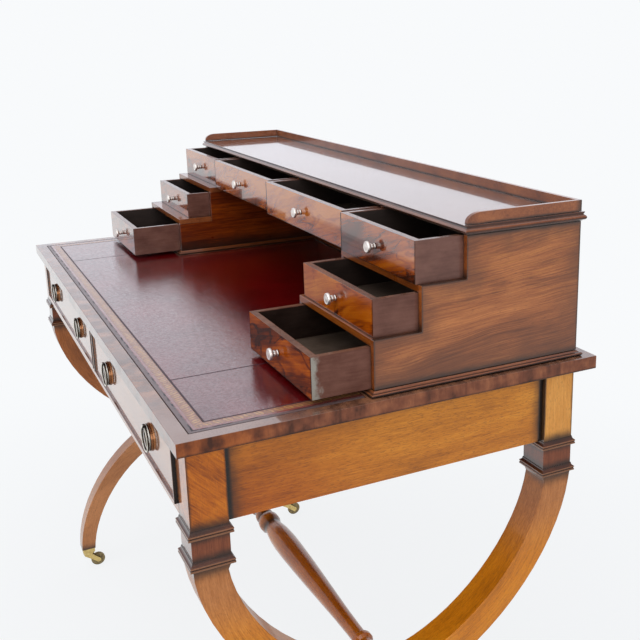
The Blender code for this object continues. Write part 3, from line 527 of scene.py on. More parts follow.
def cornice_wood():
    """Shelf top: mirror-polished above, its moulded edge dark with a worn bead."""
    look = Look("mahogany_shelf_top")
    low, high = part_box("shelf_top")
    grain = along_axis(look, "x")
    tone = figure(look, grain, 2.7, streaks=0.25)
    height = high.z - low.z
    # Painted shade with old wax: the moulded edge darkens towards its underside
    edge = waxed_and_shaded(look, toned(look, tone, MOULDING_TONES), ((look.away(look.z, low.z), height * 0.3),))
    bead = look.band(look.z, low.z + height * 0.55, height * 0.05, height * 0.14)
    edge = look.mix(bead, edge, toned(look, tone, BOARD_TONES))
    colour = look.mix(upper_faces(look), edge, look.mix(0.6, toned(look, tone, BOARD_TONES), POLISHED))
    gloss = look.rest(look.times(end_faces(look), 0.9))
    return finish_wood(look, grain, colour, 2.7, wax_reach=0.006, gloss=gloss, coat_ior=GLOSSY,
                       dullness=0.1)


def gallery_wood():
    """Gallery: grain along each of its three sides, dark along its foot."""
    look = Look("mahogany_gallery")
    at_end = look.above(look.size(look.x), GALLERY_HIGH.x - GALLERY_BOARD * 1.2)
    run = look.choose(at_end, look.y, look.x)
    grain = look.join(run, look.z, look.add(look.x, look.y))
    colour = toned(look, figure(look, grain, 6.0), BOARD_TONES)
    to_end = look.minus(GALLERY_HIGH.x, look.size(look.x))
    to_corner = look.most(to_end, look.minus(GALLERY_HIGH.y, look.y))
    # Painted shade with old wax: darker along the foot of the gallery and into its back corners
    lines = ((look.minus(look.z, GALLERY_LOW.z), 0.003), (to_corner, 0.01))
    return finish_wood(look, grain, colour, 6.0, lines, wax_reach=0.006, pore=0.22)


def frieze_end_wood():
    """Golden end panels, more orange to the front, black where they meet the posts: painted shade in the
    recess there, with old wax.
    """
    look = Look("mahogany_frieze_ends")
    grain = along_axis(look, "y")
    tone = figure(look, grain, 3.0, streaks=0.34)
    orange = look.fade(look.y, PANEL_LOW.y + 0.02, SUPPORT_Y + 0.04)
    low = look.fade(look.z, PANEL_LOW.z, PANEL_HIGH.z)
    share = look.add(look.times(orange, 0.62), look.times(low, 0.34))
    colour = look.mix(share, toned(look, tone, GOLD_TONES), toned(look, tone, AMBER_TONES))
    # Painted shade with old wax: dark towards the posts and under the top edge
    lines = ((look.minus(look.y, PANEL_LOW.y), 0.021), (look.minus(PANEL_HIGH.y, look.y), 0.018),
             (look.minus(PANEL_HIGH.z, look.z), 0.004))
    to_post = look.least(look.minus(look.y, PANEL_LOW.y), look.minus(PANEL_HIGH.y, look.y))
    colour = waxed_and_shaded(look, colour, lines)
    # Painted shade with old wax: black close to the posts
    colour = look.mix(look.fade(to_post, 0.0035, 0.0085), colour, BLACK_WAX_AND_SHADE)
    return finish_wood(look, grain, colour, 3.0, wax_reach=0.008, ior=1.3, gloss=0.6, pore=0.5)


def support_wood():
    """Posts and hanging arcs: orange in front, pale gold behind, dark at the necks and collars."""
    look = Look("mahogany_hanging_arcs")
    grain = along_arc(look, ARC_TOP, True)
    tone = figure(look, grain, 5.0, streaks=0.34)
    slant = look.join(look.minus(look.y, look.z), look.add(look.y, look.z), look.x)
    slanted = look.grained(slant, 34.0, 420.0, 2.0, detail=4.0, distortion=0.8)
    mottled = look.grained(slant, 24.0, 60.0, 7.0, detail=4.0)
    behind = look.step(look.y, SUPPORT_Y - 0.1, SUPPORT_Y + 0.1)
    front_tone = around_half(look, (slanted, 0.62), (mottled, 0.62))
    post = look.mix(behind, toned(look, front_tone, ORANGE_TONES), toned(look, tone, PALE_TONES))
    neck = toned(look, tone, NECK_TONES)
    arc = look.mix(look.step(look.z, ARC_TOP - 0.03, ARC_TOP - 0.14),
                   toned(look, tone, ARC_TONES), toned(look, tone, LOW_ARC_TONES))
    # Painted shade: the far arc takes darker tones
    arc = look.mix(look.step(look.x, 0.1, -0.1), arc, toned(look, tone, SHADED_FAR_ARC_TONES))
    in_post = look.above(look.z, COLLAR_TOP)
    colour = look.mix(in_post, neck, post)
    colour = look.mix(look.below(look.z, ARC_TOP), colour, arc)
    from_corner = look.minus(SUPPORT_REACH, look.away(look.y, SUPPORT_Y))
    below_post = look.rest(in_post)
    inner_edge = look.add(look.away(from_corner, POST_WIDTH + COLLAR_PROJECTION), below_post)
    by_drawer = look.add(look.minus(look.size(look.x), POST_INNER_X), below_post)
    off_side = look.add(below_post, look.rest(end_faces(look)))
    arris = look.add(look.minus(from_corner, COLLAR_PROJECTION), off_side)
    # Painted shade with old wax: dark at the collars and necks, under the panel, along the posts' inner
    # edges and arrises and beside the drawers
    lines = ((look.away(look.z, COLLAR_TOP), 0.012), (look.away(look.z, NECK_TOP), 0.008),
             (look.away(look.z, NECK_FOOT), 0.009), (look.away(look.z, ARC_TOP), 0.016),
             (look.minus(PANEL_HIGH.z, look.z), 0.0035), (inner_edge, 0.0022), (by_drawer, 0.009),
             (arris, 0.0032))
    colour = waxed_and_shaded(look, colour, lines)
    # Painted highlight with wear: light lines on the collar beads
    for collar_top in (COLLAR_TOP, NECK_FOOT):
        for drop, half in COLLAR_BEADS:
            level = collar_top - COLLAR_HEIGHT * drop
            bead = look.band(look.z, level, COLLAR_HEIGHT * half, COLLAR_HEIGHT * 0.05)
            colour = look.mix(look.times(bead, 0.55), colour, WORN_BEAD_AND_PAINTED_HIGHLIGHT)
    polished = look.times(front_faces(look), look.step(look.z, ARC_TOP - 0.02, ARC_TOP))
    gloss = look.add(0.16, look.times(polished, 0.84))
    return finish_wood(look, grain, colour, 5.0, wax_reach=0.006, gloss=gloss, coat_ior=MIRROR,
                       specular=0.4, pore=0.35)


def arch_wood():
    """Lower arches, dark where they enter the brass cups."""
    look = Look("mahogany_arches")
    grain = along_arc(look, ARCH_FOOT, False)
    colour = toned(look, look.add(figure(look, grain, 7.0, streaks=0.34), 0.08), ARC_TONES)
    # Painted shade with old wax: darker where the arches enter the brass cups
    lines = ((look.away(look.z, ARCH_FOOT), 0.014),)
    return finish_wood(look, grain, colour, 7.0, lines, wax_reach=0.008, gloss=0.8)


def crossbanded_top():
    """Desk top: short veneers laid across the edge all round, in uneven light and dark patches."""
    look = Look("mahogany_crossband")
    from_end = look.minus(TOP_HIGH.x, look.size(look.x))
    from_long = look.minus(TOP_HIGH.y, look.size(look.y))
    at_end = look.below(from_end, from_long)
    across = look.choose(at_end, look.x, look.y)
    along = look.choose(at_end, look.y, look.x)
    strip = look.join(along, look.times(across, 0.15), look.times(look.z, 0.15))
    patches = look.grained(strip, 34.0, 34.0, 4.0, distortion=0.5)
    bars = look.grained(strip, 150.0, 150.0, 9.0, distortion=0.3)
    clouds = look.spots(60.0, 3.0)
    tone = around_half(look, (patches, 1.05), (bars, 0.3), (clouds, 0.85))
    corner = look.add(look.minus(TOP_HIGH.x, look.x), look.minus(look.y, TOP_LOW.y))
    colour = toned(look, tone, TOP_TONES)
    colour = look.mix(look.times(look.fade(corner, 0.05, 0.16), 0.75), colour,
                      toned(look, tone, CORNER_TONES))
    margin = look.mix(look.fade(corner, 0.05, 0.22), toned(look, tone, MARGIN_TONES), PALE_CORNER)
    colour = look.mix(upper_faces(look), colour, margin)
    # Painted shade with old wax: a dark line along the lower edge of the top
    lines = ((look.minus(look.z, TOP_LOW.z), 0.003),)
    handled = look.spots(26.0, 6.0, detail=4.0, roughness=0.6)
    polish = look.rest(look.times(look.step(handled, 0.4, 0.7), 0.2))
    gloss = look.times(look.rest(end_faces(look)), polish)
    grain = look.join(look.times(look.z, 0.6), along, across)
    return finish_wood(look, grain, colour, 4.0, lines, wax_reach=0.006, gloss=gloss, coat_ior=GLOSSY,
                       dullness=0.14)


def flamed_veneer(look, seed, lift_and_painted_light):
    """Veneer with broad flames along the front, dark slanting veins and a few knots."""
    lean = look.minus(look.z, look.times(look.x, 0.28))
    slant = look.join(look.x, look.y, lean)
    flame = look.drawn(slant, (6.5, 6.5, 24.0), seed, detail=4.0, distortion=0.7)
    vein = look.drawn(slant, (7.0, 7.0, 100.0), seed, detail=4.0, distortion=0.9)
    fibre = look.drawn(slant, (22.0, 22.0, 620.0), seed, distortion=0.4)
    knots = look.drawn(slant, (17.0, 17.0, 34.0), seed + 4.0, distortion=1.0)
    tone = around_half(look, (flame, 1.15), (vein, 0.55), (fibre, 0.24))
    tone = look.minus(look.add(tone, lift_and_painted_light), look.times(look.step(knots, 0.59, 0.72), 0.22))
    rings = look.drawn(slant, (9.0, 9.0, 30.0), seed + 7.0, detail=2.0, distortion=0.6)
    ring = look.fade(look.away(rings, 0.5), 0.0, 0.045)
    tone = look.minus(tone, look.times(ring, look.step(vein, 0.35, 0.6), 0.2))
    return look.ramp(tone, tuple(zip(VENEER_STOPS, VENEER_TONES)))


def plain_veneer(look, seed, lift_and_painted_light):
    """Straight veneer with long soft flames and fine fibre."""
    flame = look.drawn(look.place, (3.2, 3.2, 22.0), seed, distortion=0.8)
    vein = look.drawn(look.place, (5.0, 5.0, 130.0), seed, detail=4.0, distortion=0.6)
    fibre = look.drawn(look.place, (24.0, 24.0, 640.0), seed)
    tone = around_half(look, (flame, 0.85), (vein, 0.45), (fibre, 0.3))
    return toned(look, look.add(tone, lift_and_painted_light), PLAIN_TONES)


def drawer_wood(name, box, seed, front_board, veneer_of, ior, coat_ior, shine=0.5, lift_and_painted_light=0.0, painted_gleam_grade=0.0,
                worn=False, seamed=False):
    """Figured veneer on the drawer front, dull oiled sides, pale upper edges and a dark inside whose
    walls are painted in shade.
    """
    look = Look(name)
    low, high = box
    facing_x, facing_y, facing_z = look.normal
    grain = along_axis(look, "x")
    # Painted reflected light: the veneer tone is shifted by the lift and, on the top row, graded lighter
    # towards the upper edge
    slope = painted_gleam_grade / (high.z - low.z)
    shift_and_painted_gleam = look.add(look.times(look.minus(look.z, (low.z + high.z) / 2), slope), lift_and_painted_light)
    veneer = veneer_of(look, seed, shift_and_painted_gleam)
    clouds = look.drawn(look.place, (24.0, 24.0, 40.0), seed, detail=5.0, roughness=0.6)
    fibre = look.drawn(along_axis(look, "y"), (30.0, 300.0, 300.0), seed)
    side_tone = around_half(look, (clouds, 0.9), (fibre, 0.35))
    side = look.ramp(side_tone, SIDE_BOARD)
    # Painted shade: the inner walls get a near-black colour, the floor a lighter one
    shaded_wall = look.ramp(side_tone, SHADED_INNER_WALL)
    floor = look.ramp(side_tone, INNER_FLOOR)
    inside = look.mix(upper_faces(look), shaded_wall, floor)
    rim = look.ramp(side_tone, UPPER_RIM)
    middle_x = (low.x + high.x) / 2
    half_x = (high.x - low.x) / 2
    from_middle = look.away(look.x, middle_x)
    skin_depth = DRAWER_SIDE_BOARD * 0.4
    flank = look.above(from_middle, half_x - skin_depth)
    in_front = look.below(look.y, low.y + front_board * 0.6)
    top = look.above(look.z, high.z - RIM_DEPTH)
    outer = look.most(flank, look.above(look.y, high.y - skin_depth),
                      look.below(look.z, low.z + skin_depth), in_front, top)
    front = look.times(in_front, look.step(facing_y, -0.3, -0.7))
    from_side = look.minus(half_x, from_middle)
    from_foot = look.minus(look.z, low.z)
    edges = [(from_side, 0.003)]
    if veneer_of is flamed_veneer:
        edges.append((from_foot, 0.0022))
    # Painted shade with old wax: the front darkens towards its sides and, on the small drawers, towards
    # its foot
    veneer = waxed_and_shaded(look, veneer, edges, 0.85)
    if worn:
        rubbed = look.drawn(look.place, (70.0, 70.0, 60.0), detail=5.0, roughness=0.65)
        near_corner = look.minus(look.y, low.y)
        patch = look.step(look.add(rubbed, look.times(near_corner, -30.0)), 0.1, 0.4)
        side = look.mix(look.times(patch, 0.85), side, RUBBED)
    colour = look.mix(outer, inside, side)
    # Painted shade: the ends of the frieze drawer fronts are blackened as the gap beside them
    if veneer_of is plain_veneer:
        colour = look.mix(look.times(in_front, end_faces(look)), colour, BLACK_WAX_AND_SHADE)
    colour = look.mix(front, colour, veneer)
    on_rim = look.times(top, look.step(facing_z, 0.2, 0.7))
    colour = look.mix(on_rim, colour, rim)
    dull = look.most(look.times(flank, look.step(look.size(facing_x), 0.4, 0.8)),
                     look.times(on_rim, 0.6), look.times(front, look.fade(from_side, 0.001, 0.0026)))
    if seamed:
        seam = look.times(front, look.fade(look.minus(look.x, low.x), SEAM * 0.7, SEAM))
        colour = look.mix(seam, colour, BLACK_WAX_AND_SHADE)
        dull = look.most(dull, seam)
    underside = look.step(facing_z, -0.4, -0.8)
    dull = look.most(dull, underside)
    gloss = look.times(outer, shine * 2, look.rest(dull))
    raw = look.most(look.rest(outer), underside)
    wax_reach = front_board * 0.8 if veneer_of is flamed_veneer else 0.002
    dullness = look.add(0.12, look.times(raw, 0.55))
    return finish_wood(look, grain, colour, seed, wax=0.7, wax_reach=wax_reach, gloss=gloss, ior=ior,
                       coat_ior=coat_ior, dullness=dullness, specular=shine, pore=0.22)


# Leather

HIDE_TONES = ((0.3, (0.075, 0.0002, 0.0012)), (0.7, (0.16, 0.0004, 0.0024)))
# Painted glare: the pinkish colour of the leather's border
BORDER_PAINTED_GLARE = (0.25, 0.056, 0.05)
BAND_HIDE = (0.28, 0.12, 0.056)
GILT = (0.5, 0.26, 0.09)
LEAF_VEIN = (0.13, 0.045, 0.022)
PRESSED_LINE = (0.016, 0.004, 0.008)
GROOVE_GREY = (0.1, 0.078, 0.076)
COOL_GLEAM = (0.72, 0.82, 1.0, 1.0)
GRAIN_DEPTH = 0.0004


def tooled_leather():
    """Oxblood hide with fine grain, a grey groove round it, a gilt leaf border and blind lines."""
    look = Look("oxblood_leather")
    side = look.size(look.x)
    from_front = look.minus(look.y, LEATHER_LOW.y)
    from_end = look.minus(LEATHER_HIGH.x, side)
    edge = look.least(from_front, from_end)
    at_end = look.below(from_end, from_front)
    run = look.choose(at_end, look.y, look.x)
    across = look.times(look.minus(edge, TOOLING_MIDDLE), 2 / TOOLING_WIDTH)
    ground = look.below(look.size(across), 1.0)
    link = look.minus(look.math("FRACT", look.times(run, 1 / TOOLING_PERIOD)), 0.5)
    leaning = look.size(look.add(link, look.times(across, 0.22)))
    lens = look.times(look.rest(look.times(across, across)), 0.42)
    leaf = look.times(look.step(look.minus(lens, leaning), -0.04, 0.06), ground)
    vein = look.times(look.fade(leaning, 0.04, 0.1), leaf)
    rubbed = look.step(look.noise(look.place, 150.0, 4.0, 0.65), 0.3, 0.62)
    wander = look.times(look.noise(look.place, 120.0, 3.0), 0.0022)
    from_rim = look.add(edge, wander)
    groove = look.fade(from_rim, GROOVE, GROOVE + 0.0016)
    broken = look.step(look.noise(look.place, 45.0, 4.0, 0.6), 0.42, 0.58)
    crack = look.times(look.band(from_rim, GROOVE, 0.0006, 0.001), broken)
    inner_line = look.band(edge, INNER_LINE, BLIND_LINE / 2, LINE_SOFTNESS)
    within = look.above(edge, INNER_LINE)
    panel_line = look.times(look.band(side, PANEL_LINE_X, BLIND_LINE / 2, LINE_SOFTNESS), within)
    tooled = look.most(inner_line, panel_line)
    mottle = look.noise(look.place, 9.0, 5.0, 0.6)
    crease = look.spots(330.0, distortion=0.8)
    pebble = look.spots(150.0, 2.0, distortion=1.2)
    grainy = look.step(look.add(look.times(crease, 0.5), look.times(pebble, 0.5)), 0.38, 0.6)
    scuffs = look.drawn(look.place, (7.0, 70.0, 7.0), 5.0, detail=5.0, roughness=0.65, distortion=1.5)
    scuffed = look.step(scuffs, 0.5, 0.72)
    hide = look.ramp(mottle, HIDE_TONES)
    # Painted glare: the border inside the blind line is coloured pinkish
    hide = look.mix(look.times(look.below(edge, INNER_LINE), 0.8), hide, BORDER_PAINTED_GLARE)
    hide = look.mix(look.times(ground, 0.7), hide, BAND_HIDE)
    hide = look.mix(look.times(leaf, rubbed), hide, GILT)
    hide = look.mix(look.times(vein, 0.8), hide, LEAF_VEIN)
    hide = look.mix(look.times(tooled, 0.92), hide, PRESSED_LINE)
    hide = look.mix(look.times(groove, 0.85), hide, GROOVE_GREY)
    hide = look.mix(crack, hide, BLACK_WAX_AND_SHADE)
    matt = look.most(tooled, crack, look.times(groove, 0.6), look.times(ground, 0.3))
    shine = look.minus(look.add(0.64, look.times(grainy, 0.42)), look.times(scuffed, 0.15))
    look.set(base_color=hide, ior=1.5, specular_tint=COOL_GLEAM)
    look.set(roughness=look.add(0.13, look.times(crease, 0.08), look.times(matt, 0.45)))
    shine = look.times(shine, look.rest(look.times(matt, 0.8)))
    look.set(coat_weight=shine, coat_roughness=0.16, coat_ior=GLOSSY)
    pressed = look.times(look.most(tooled, groove), 1.5)
    height = look.minus(look.add(look.times(crease, 0.6), pebble), pressed)
    look.bump(height, GRAIN_DEPTH, 0.5)
    look.bump(height, GRAIN_DEPTH, 0.5, "Coat Normal")
    return look.material


# Metal

TARNISH = (0.02, 0.015, 0.01)
TARNISH_REACH = 0.004
SCRATCH_DEPTH = 0.00004
# Black of the rims: painted shade with dark tarnish
RIM_BLACK = (0.022, 0.018, 0.014)
COPPER = (0.31, 0.145, 0.07)
PLATE_COPPER = 0.0023
PALE_BRASS = ((0.94, 0.89, 0.84), (0.86, 0.8, 0.73))
SILVERED_BRASS = ((0.86, 0.81, 0.72), (0.62, 0.56, 0.46))
ANTIQUE_BRASS = ((0.66, 0.5, 0.2), (0.48, 0.34, 0.13))
DARK_BRASS = ((0.26, 0.2, 0.1), (0.1, 0.07, 0.04))


def metal(name, tones, tarnish, roughness, dark_rim=0.0, copper_from=None):
    """Metal, bright where touched, dark in its grooves; rims can be painted black as shade with dark
    tarnish, with copper behind.
    """
    look = Look(name)
    bright, dull = tones
    spots = look.noise(look.place, 160.0, 4.0, 0.6)
    fine = look.noise(look.place, 900.0, 2.0)
    hollow_darkening = look.step(look.add(look.hollows(TARNISH_REACH), look.times(spots, 0.5)), 0.35, 0.9)
    colour = look.mix(look.step(spots, 0.35, 0.75), bright, dull)
    colour = look.mix(look.times(hollow_darkening, tarnish), colour, TARNISH)
    if dark_rim:
        # Painted shade with dark tarnish: faces that do not look to the front are darkened towards black
        rim = look.rest(front_faces(look))
        colour = look.mix(look.times(rim, dark_rim), colour, RIM_BLACK)
        if copper_from:
            left, right = copper_from
            start = look.add(left, look.times(look.above(look.x, 0.0), right - left))
            colour = look.mix(look.times(rim, look.above(look.y, start)), colour, COPPER)
    look.set(base_color=colour, metallic=1.0)
    look.set(roughness=look.add(roughness, look.times(fine, 0.14)))
    look.bump(fine, SCRATCH_DEPTH, 0.3)
    return look.material


# Mesh building

def mesh_object(name, bm, material, body, node):
    """Place a finished mesh for a CAD node and let it move with that node's body."""
    bmesh.ops.recalc_face_normals(bm, faces=bm.faces)
    mesh = bpy.data.meshes.new(name)
    bm.to_mesh(mesh)
    bm.free()
    mesh.materials.append(material)
    mesh.shade_smooth()
    mesh.set_sharp_from_angle(angle=SMOOTH_ANGLE)
    piece = bpy.data.objects.new(name, mesh)
    bpy.context.scene.collection.objects.link(piece)
    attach(piece, body)
    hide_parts(node)


def turning(profile, sides):
    """Turn (radius, height) pairs about Z and close both ends."""
    bm = bmesh.new()
    angles = [math.tau * i / sides for i in range(sides)]
    rings = []
    for radius, height in profile:
        points = [(radius * math.cos(a), radius * math.sin(a), height) for a in angles]
        rings.append([bm.verts.new(point) for point in points])
    bm.faces.new(rings[0])
    bm.faces.new(rings[-1])
    for first, second in zip(rings, rings[1:]):
        for i in range(sides):
            j = (i + 1) % sides
            bm.faces.new((first[i], first[j], second[j], second[i]))
    return bm


def rounded(profile, steps=3, reach=0.42):
    """Round a turned profile: each corner becomes a curve that reaches part of the way to the next."""
    points = [Vector(p) for p in profile]
    smooth = [points[0]]
    for before, here, after in zip(points, points[1:], points[2:]):
        start = here.lerp(before, reach)
        end = here.lerp(after, reach)
        for i in range(steps + 1):
            t = i / steps
            smooth.append(start.lerp(here, t).lerp(here.lerp(end, t), t))
    smooth.append(points[-1])
    return smooth


FACING_FRONT = Matrix.Rotation(math.pi / 2, 4, "X")
KNOB_SIDES = 40

# Knob profile in shares of its radius and length, from the drawer outwards
KNOB_SHAPE = ((0.46, 0.0), (0.52, 0.05), (0.5, 0.1), (0.44, 0.16), (0.52, 0.24), (0.54, 0.44),
              (0.48, 0.5), (0.36, 0.55), (0.44, 0.61), (0.9, 0.66), (1.0, 0.72), (1.0, 0.86),
              (0.95, 0.95), (0.86, 1.0), (0.76, 0.98), (0.6, 0.97), (0.4, 0.98), (0.2, 1.0),
              (0.05, 1.0))


def make_knob(name, material):
    """Turned knob: rose, neck and a dished head with a raised button."""
    low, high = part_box("knob_" + name)
    radius = (high.x - low.x) / 2
    length = high.y - low.y
    profile = rounded([(radius * r, length * h) for r, h in KNOB_SHAPE])
    centre = Vector(((low.x + high.x) / 2, high.y, (low.z + high.z) / 2))
    bm = turning(profile, KNOB_SIDES)
    for matrix in (FACING_FRONT, Matrix.Translation(centre)):
        bmesh.ops.transform(bm, matrix=matrix, verts=bm.verts)
    mesh_object("turned_knob_" + name, bm, material, "drawer_" + name, "knob_" + name)


def dress(node, material, rounding=EDGE_ROUNDING):
    """Give a CAD node its finish, with its hard edges eased."""
    piece = NODES[node]
    piece.data.materials.clear()
    piece.data.materials.append(material)
    weld = piece.modifiers.new("weld", "WELD")
    weld.merge_threshold = WELD_REACH
    shading = piece.modifiers.new("shading", "NODES")
    shading.node_group = SMOOTHING
    bevel = piece.modifiers.new("eased_edges", "BEVEL")
    bevel.width = rounding
    bevel.segments = 2
    bevel.limit_method = "ANGLE"
    bevel.angle_limit = SMOOTH_ANGLE
    bevel.harden_normals = True


def smoothing_group():
    """Geometry nodes that shade by angle: the imported facet normals go, soft edges blend."""
    group = bpy.data.node_groups.new("shade_by_angle", "GeometryNodeTree")
    group.interface.new_socket("Geometry", in_out="INPUT", socket_type="NodeSocketGeometry")
    group.interface.new_socket("Geometry", in_out="OUTPUT", socket_type="NodeSocketGeometry")
    start = group.nodes.new("NodeGroupInput")
    end = group.nodes.new("NodeGroupOutput")
    remove = group.nodes.new("GeometryNodeRemoveAttribute")
    remove.inputs["Name"].default_value = "custom_normal"
    angle = group.nodes.new("GeometryNodeInputMeshEdgeAngle")
    soft = group.nodes.new("FunctionNodeCompare")
    soft.operation = "LESS_THAN"
    soft.inputs["B"].default_value = SMOOTH_ANGLE
    faces = group.nodes.new("GeometryNodeSetShadeSmooth")
    edges = group.nodes.new("GeometryNodeSetShadeSmooth")
    edges.domain = "EDGE"
    wire(group, (start.outputs[0], remove.inputs["Geometry"]),
         (remove.outputs[0], faces.inputs["Geometry"]), (faces.outputs[0], edges.inputs["Geometry"]),
         (angle.outputs["Unsigned Angle"], soft.inputs["A"]),
         (soft.outputs[0], edges.inputs["Shade Smooth"]), (edges.outputs[0], end.inputs[0]))
    return group


SMOOTHING = smoothing_group()


def stretcher_rings(look):
    """Dark wax and painted shade in the turned rings at the ends and in the middle of the stretcher."""
    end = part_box("stretcher")[1].x
    out = look.size(look.x)
    return ((look.minus(end, out), STRETCHER_STAIN), (out, 0.018),
            (look.away(out, STRETCHER_MIDDLE * 0.51), 0.013), (look.away(out, STRETCHER_MIDDLE), 0.016))


def dress_wood():
    """Finish every wooden piece and the leather."""
    case_side = case_side_wood()
    # Painted shade: the recess boards take darker tones, and their sides darken further towards the foot
    inner_side = board_wood("mahogany_recess_sides", "y", SHADED_RECESS_TONES, 2.0,
                            lambda look: ((look.minus(look.z, SIDE_LOW.z), 0.024),), streaks=0.8)
    case_board = shelf_wood("mahogany_case_boards", "x", 2.5)
    moulding = moulded_wood("mahogany_base_moulding", 6.6)
    recess_board = board_wood("mahogany_recess_boards", "x", SHADED_RECESS_TONES, 3.5)
    rail = board_wood("mahogany_frieze_rails", "x", PLAIN_TONES, 5.5, wax_reach=0.002, ior=FILLED,
                      coat_ior=MIRROR)
    turned = board_wood("mahogany_stretcher", "x", ORANGE_TONES, 8.5, stretcher_rings, wax_reach=0.006,
                        gloss=0.7, coat_ior=1.4)
    frieze_end = frieze_end_wood()
    support = support_wood()
    arch = arch_wood()
    for side in SIDES:
        dress("bank_outer_side_" + side, case_side)
        dress("bank_inner_side_" + side, inner_side)
        dress("ledge_" + side, case_board)
        dress("frieze_end_" + side, frieze_end)
        dress("end_support_upper_" + side, support)
        dress("end_support_lower_" + side, arch)
    dress("superstructure_base", moulding)
    dress("top_tier_shelf", case_board)
    dress("shelf_top", cornice_wood())
    dress("superstructure_back", recess_board)
    dress("gallery", gallery_wood())
    dress("frieze_back", rail)
    dress("frieze_front_frame", rail)
    dress("stretcher", turned)
    dress("desk_top", crossbanded_top())
    dress("leather_panel", tooled_leather(), LEATHER_ROUNDING)
    for number, name in enumerate(SMALL_DRAWERS):
        node = "drawer_" + name
        seed = SMALL_SEED + SMALL_SEED_STEP * number
        painted_gleam_grade = TOP_ROW_PAINTED_GLEAM if name.startswith("top") else 0.0
        veneered = drawer_wood("veneer_" + name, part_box(node), seed, DRAWER_FRONT_BOARD,
                               flamed_veneer, ior=1.38, coat_ior=GLOSSY,
                               shine=FRONT_SHINE.get(name, 0.5), lift_and_painted_light=FRONT_TONE_AND_PAINTED_LIGHT.get(name, 0.0),
                               painted_gleam_grade=painted_gleam_grade, worn=name in WORN, seamed=name in SEAMED)
        dress(node, veneered)
    for number, side in enumerate(SIDES):
        node = "frieze_drawer_" + side
        seed = FRIEZE_SEED + FRIEZE_SEED_STEP * number
        veneered = drawer_wood("veneer_frieze_" + side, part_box(node), seed, FRIEZE_FRONT_BOARD,
                               plain_veneer, ior=FILLED, coat_ior=MIRROR)
        dress(node, veneered)


def dress_metal():
    """Finish the pulls and castors and put the turned knobs in place."""
    pale = metal("pale_brass", PALE_BRASS, tarnish=0.6, roughness=0.4, dark_rim=0.3)
    copper_from = [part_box("handle_plate_%s_outer" % side)[1].y - PLATE_COPPER for side in SIDES]
    pulls = metal("worn_silvered_brass", SILVERED_BRASS, tarnish=0.97, roughness=0.16, dark_rim=0.94,
                  copper_from=copper_from)
    antique = metal("antique_brass", ANTIQUE_BRASS, tarnish=0.72, roughness=0.2)
    wheel = metal("dark_brass", DARK_BRASS, tarnish=0.9, roughness=0.28)
    for name in SMALL_DRAWERS:
        make_knob(name, pale)
    for name in HANDLES:
        dress("handle_plate_" + name, pulls, PULL_ROUNDING)
        dress("handle_ring_" + name, pulls, PULL_ROUNDING)
    for name in CASTORS:
        dress("castor_cup_" + name, antique, CASTOR_ROUNDING)
        dress("castor_fork_" + name, antique, CASTOR_ROUNDING)
        dress("castor_wheel_" + name, wheel, CASTOR_ROUNDING)


# Studio

FLOOR_COLOUR = (0.94, 0.955, 0.97)
REFLECTED_COLOUR = (0.91, 0.92, 1.0)
FLOOR_REACH = 9.0
GLOW_LEAST = 0.86
GLOW_FROM, GLOW_FULL = 0.5, 1.9
AMBIENT = 0.45
MIDDLE = Vector((0.0, 0.0, 0.75))

# Name, place, width, height and radiance of each lamp
LAMPS = (("overhead", (0.6, -0.9, 3.4), 2.8, 2.8, 1.4),
         ("back_left", (-4.2, 2.2, 1.9), 5.0, 3.2, 0.15),
         ("right", (3.4, -0.9, 1.9), 2.4, 2.4, 2.4),
         ("front", (0.4, -3.4, 2.0), 2.0, 2.0, 1.2))


def seen_share(tree, path):
    """1 for rays from the camera and for mirrored ones, 0 for those that light the scene."""
    seen = new_node(tree, "Math", operation="MAXIMUM")
    wire(tree, (path.outputs["Is Camera Ray"], seen.inputs[0]),
         (path.outputs["Is Glossy Ray"], seen.inputs[1]))
    return seen.outputs[0]


def floor_paint():
    """Pale paint that shows white away from the desk and keeps a soft shadow under it."""
    look = bpy.data.materials.new("studio_floor")
    look.use_nodes = True
    tree = look.node_tree
    tree.nodes.clear()
    output = new_node(tree, "OutputMaterial")
    paint = new_node(tree, "BsdfDiffuse")
    paint.inputs["Color"].default_value = (*FLOOR_COLOUR, 1.0)
    glow = new_node(tree, "Emission")
    glow.inputs["Color"].default_value = (*FLOOR_COLOUR, 1.0)
    seen = seen_share(tree, new_node(tree, "LightPath"))
    share = new_node(tree, "Math", operation="MULTIPLY")
    place = new_node(tree, "TexCoord")
    reach = new_node(tree, "VectorMath", operation="LENGTH")
    far = new_node(tree, "MapRange", interpolation_type="SMOOTHSTEP")
    far.inputs["From Min"].default_value = GLOW_FROM
    far.inputs["From Max"].default_value = GLOW_FULL
    far.inputs["To Min"].default_value = GLOW_LEAST
    mix = new_node(tree, "MixShader")
    wire(tree, (place.outputs["Object"], reach.inputs[0]), (reach.outputs["Value"], far.inputs["Value"]),
         (seen, share.inputs[0]), (far.outputs["Result"], share.inputs[1]),
         (share.outputs[0], mix.inputs[0]), (paint.outputs[0], mix.inputs[1]),
         (glow.outputs[0], mix.inputs[2]), (mix.outputs[0], output.inputs["Surface"]))
    return look


def make_floor():
    """Plain floor under the desk."""
    bm = bmesh.new()
    bmesh.ops.create_grid(bm, x_segments=1, y_segments=1, size=FLOOR_REACH)
    mesh = bpy.data.meshes.new("studio_floor")
    bm.to_mesh(mesh)
    bm.free()
    mesh.materials.append(floor_paint())
    floor = bpy.data.objects.new("studio_floor", mesh)
    bpy.context.scene.collection.objects.link(floor)


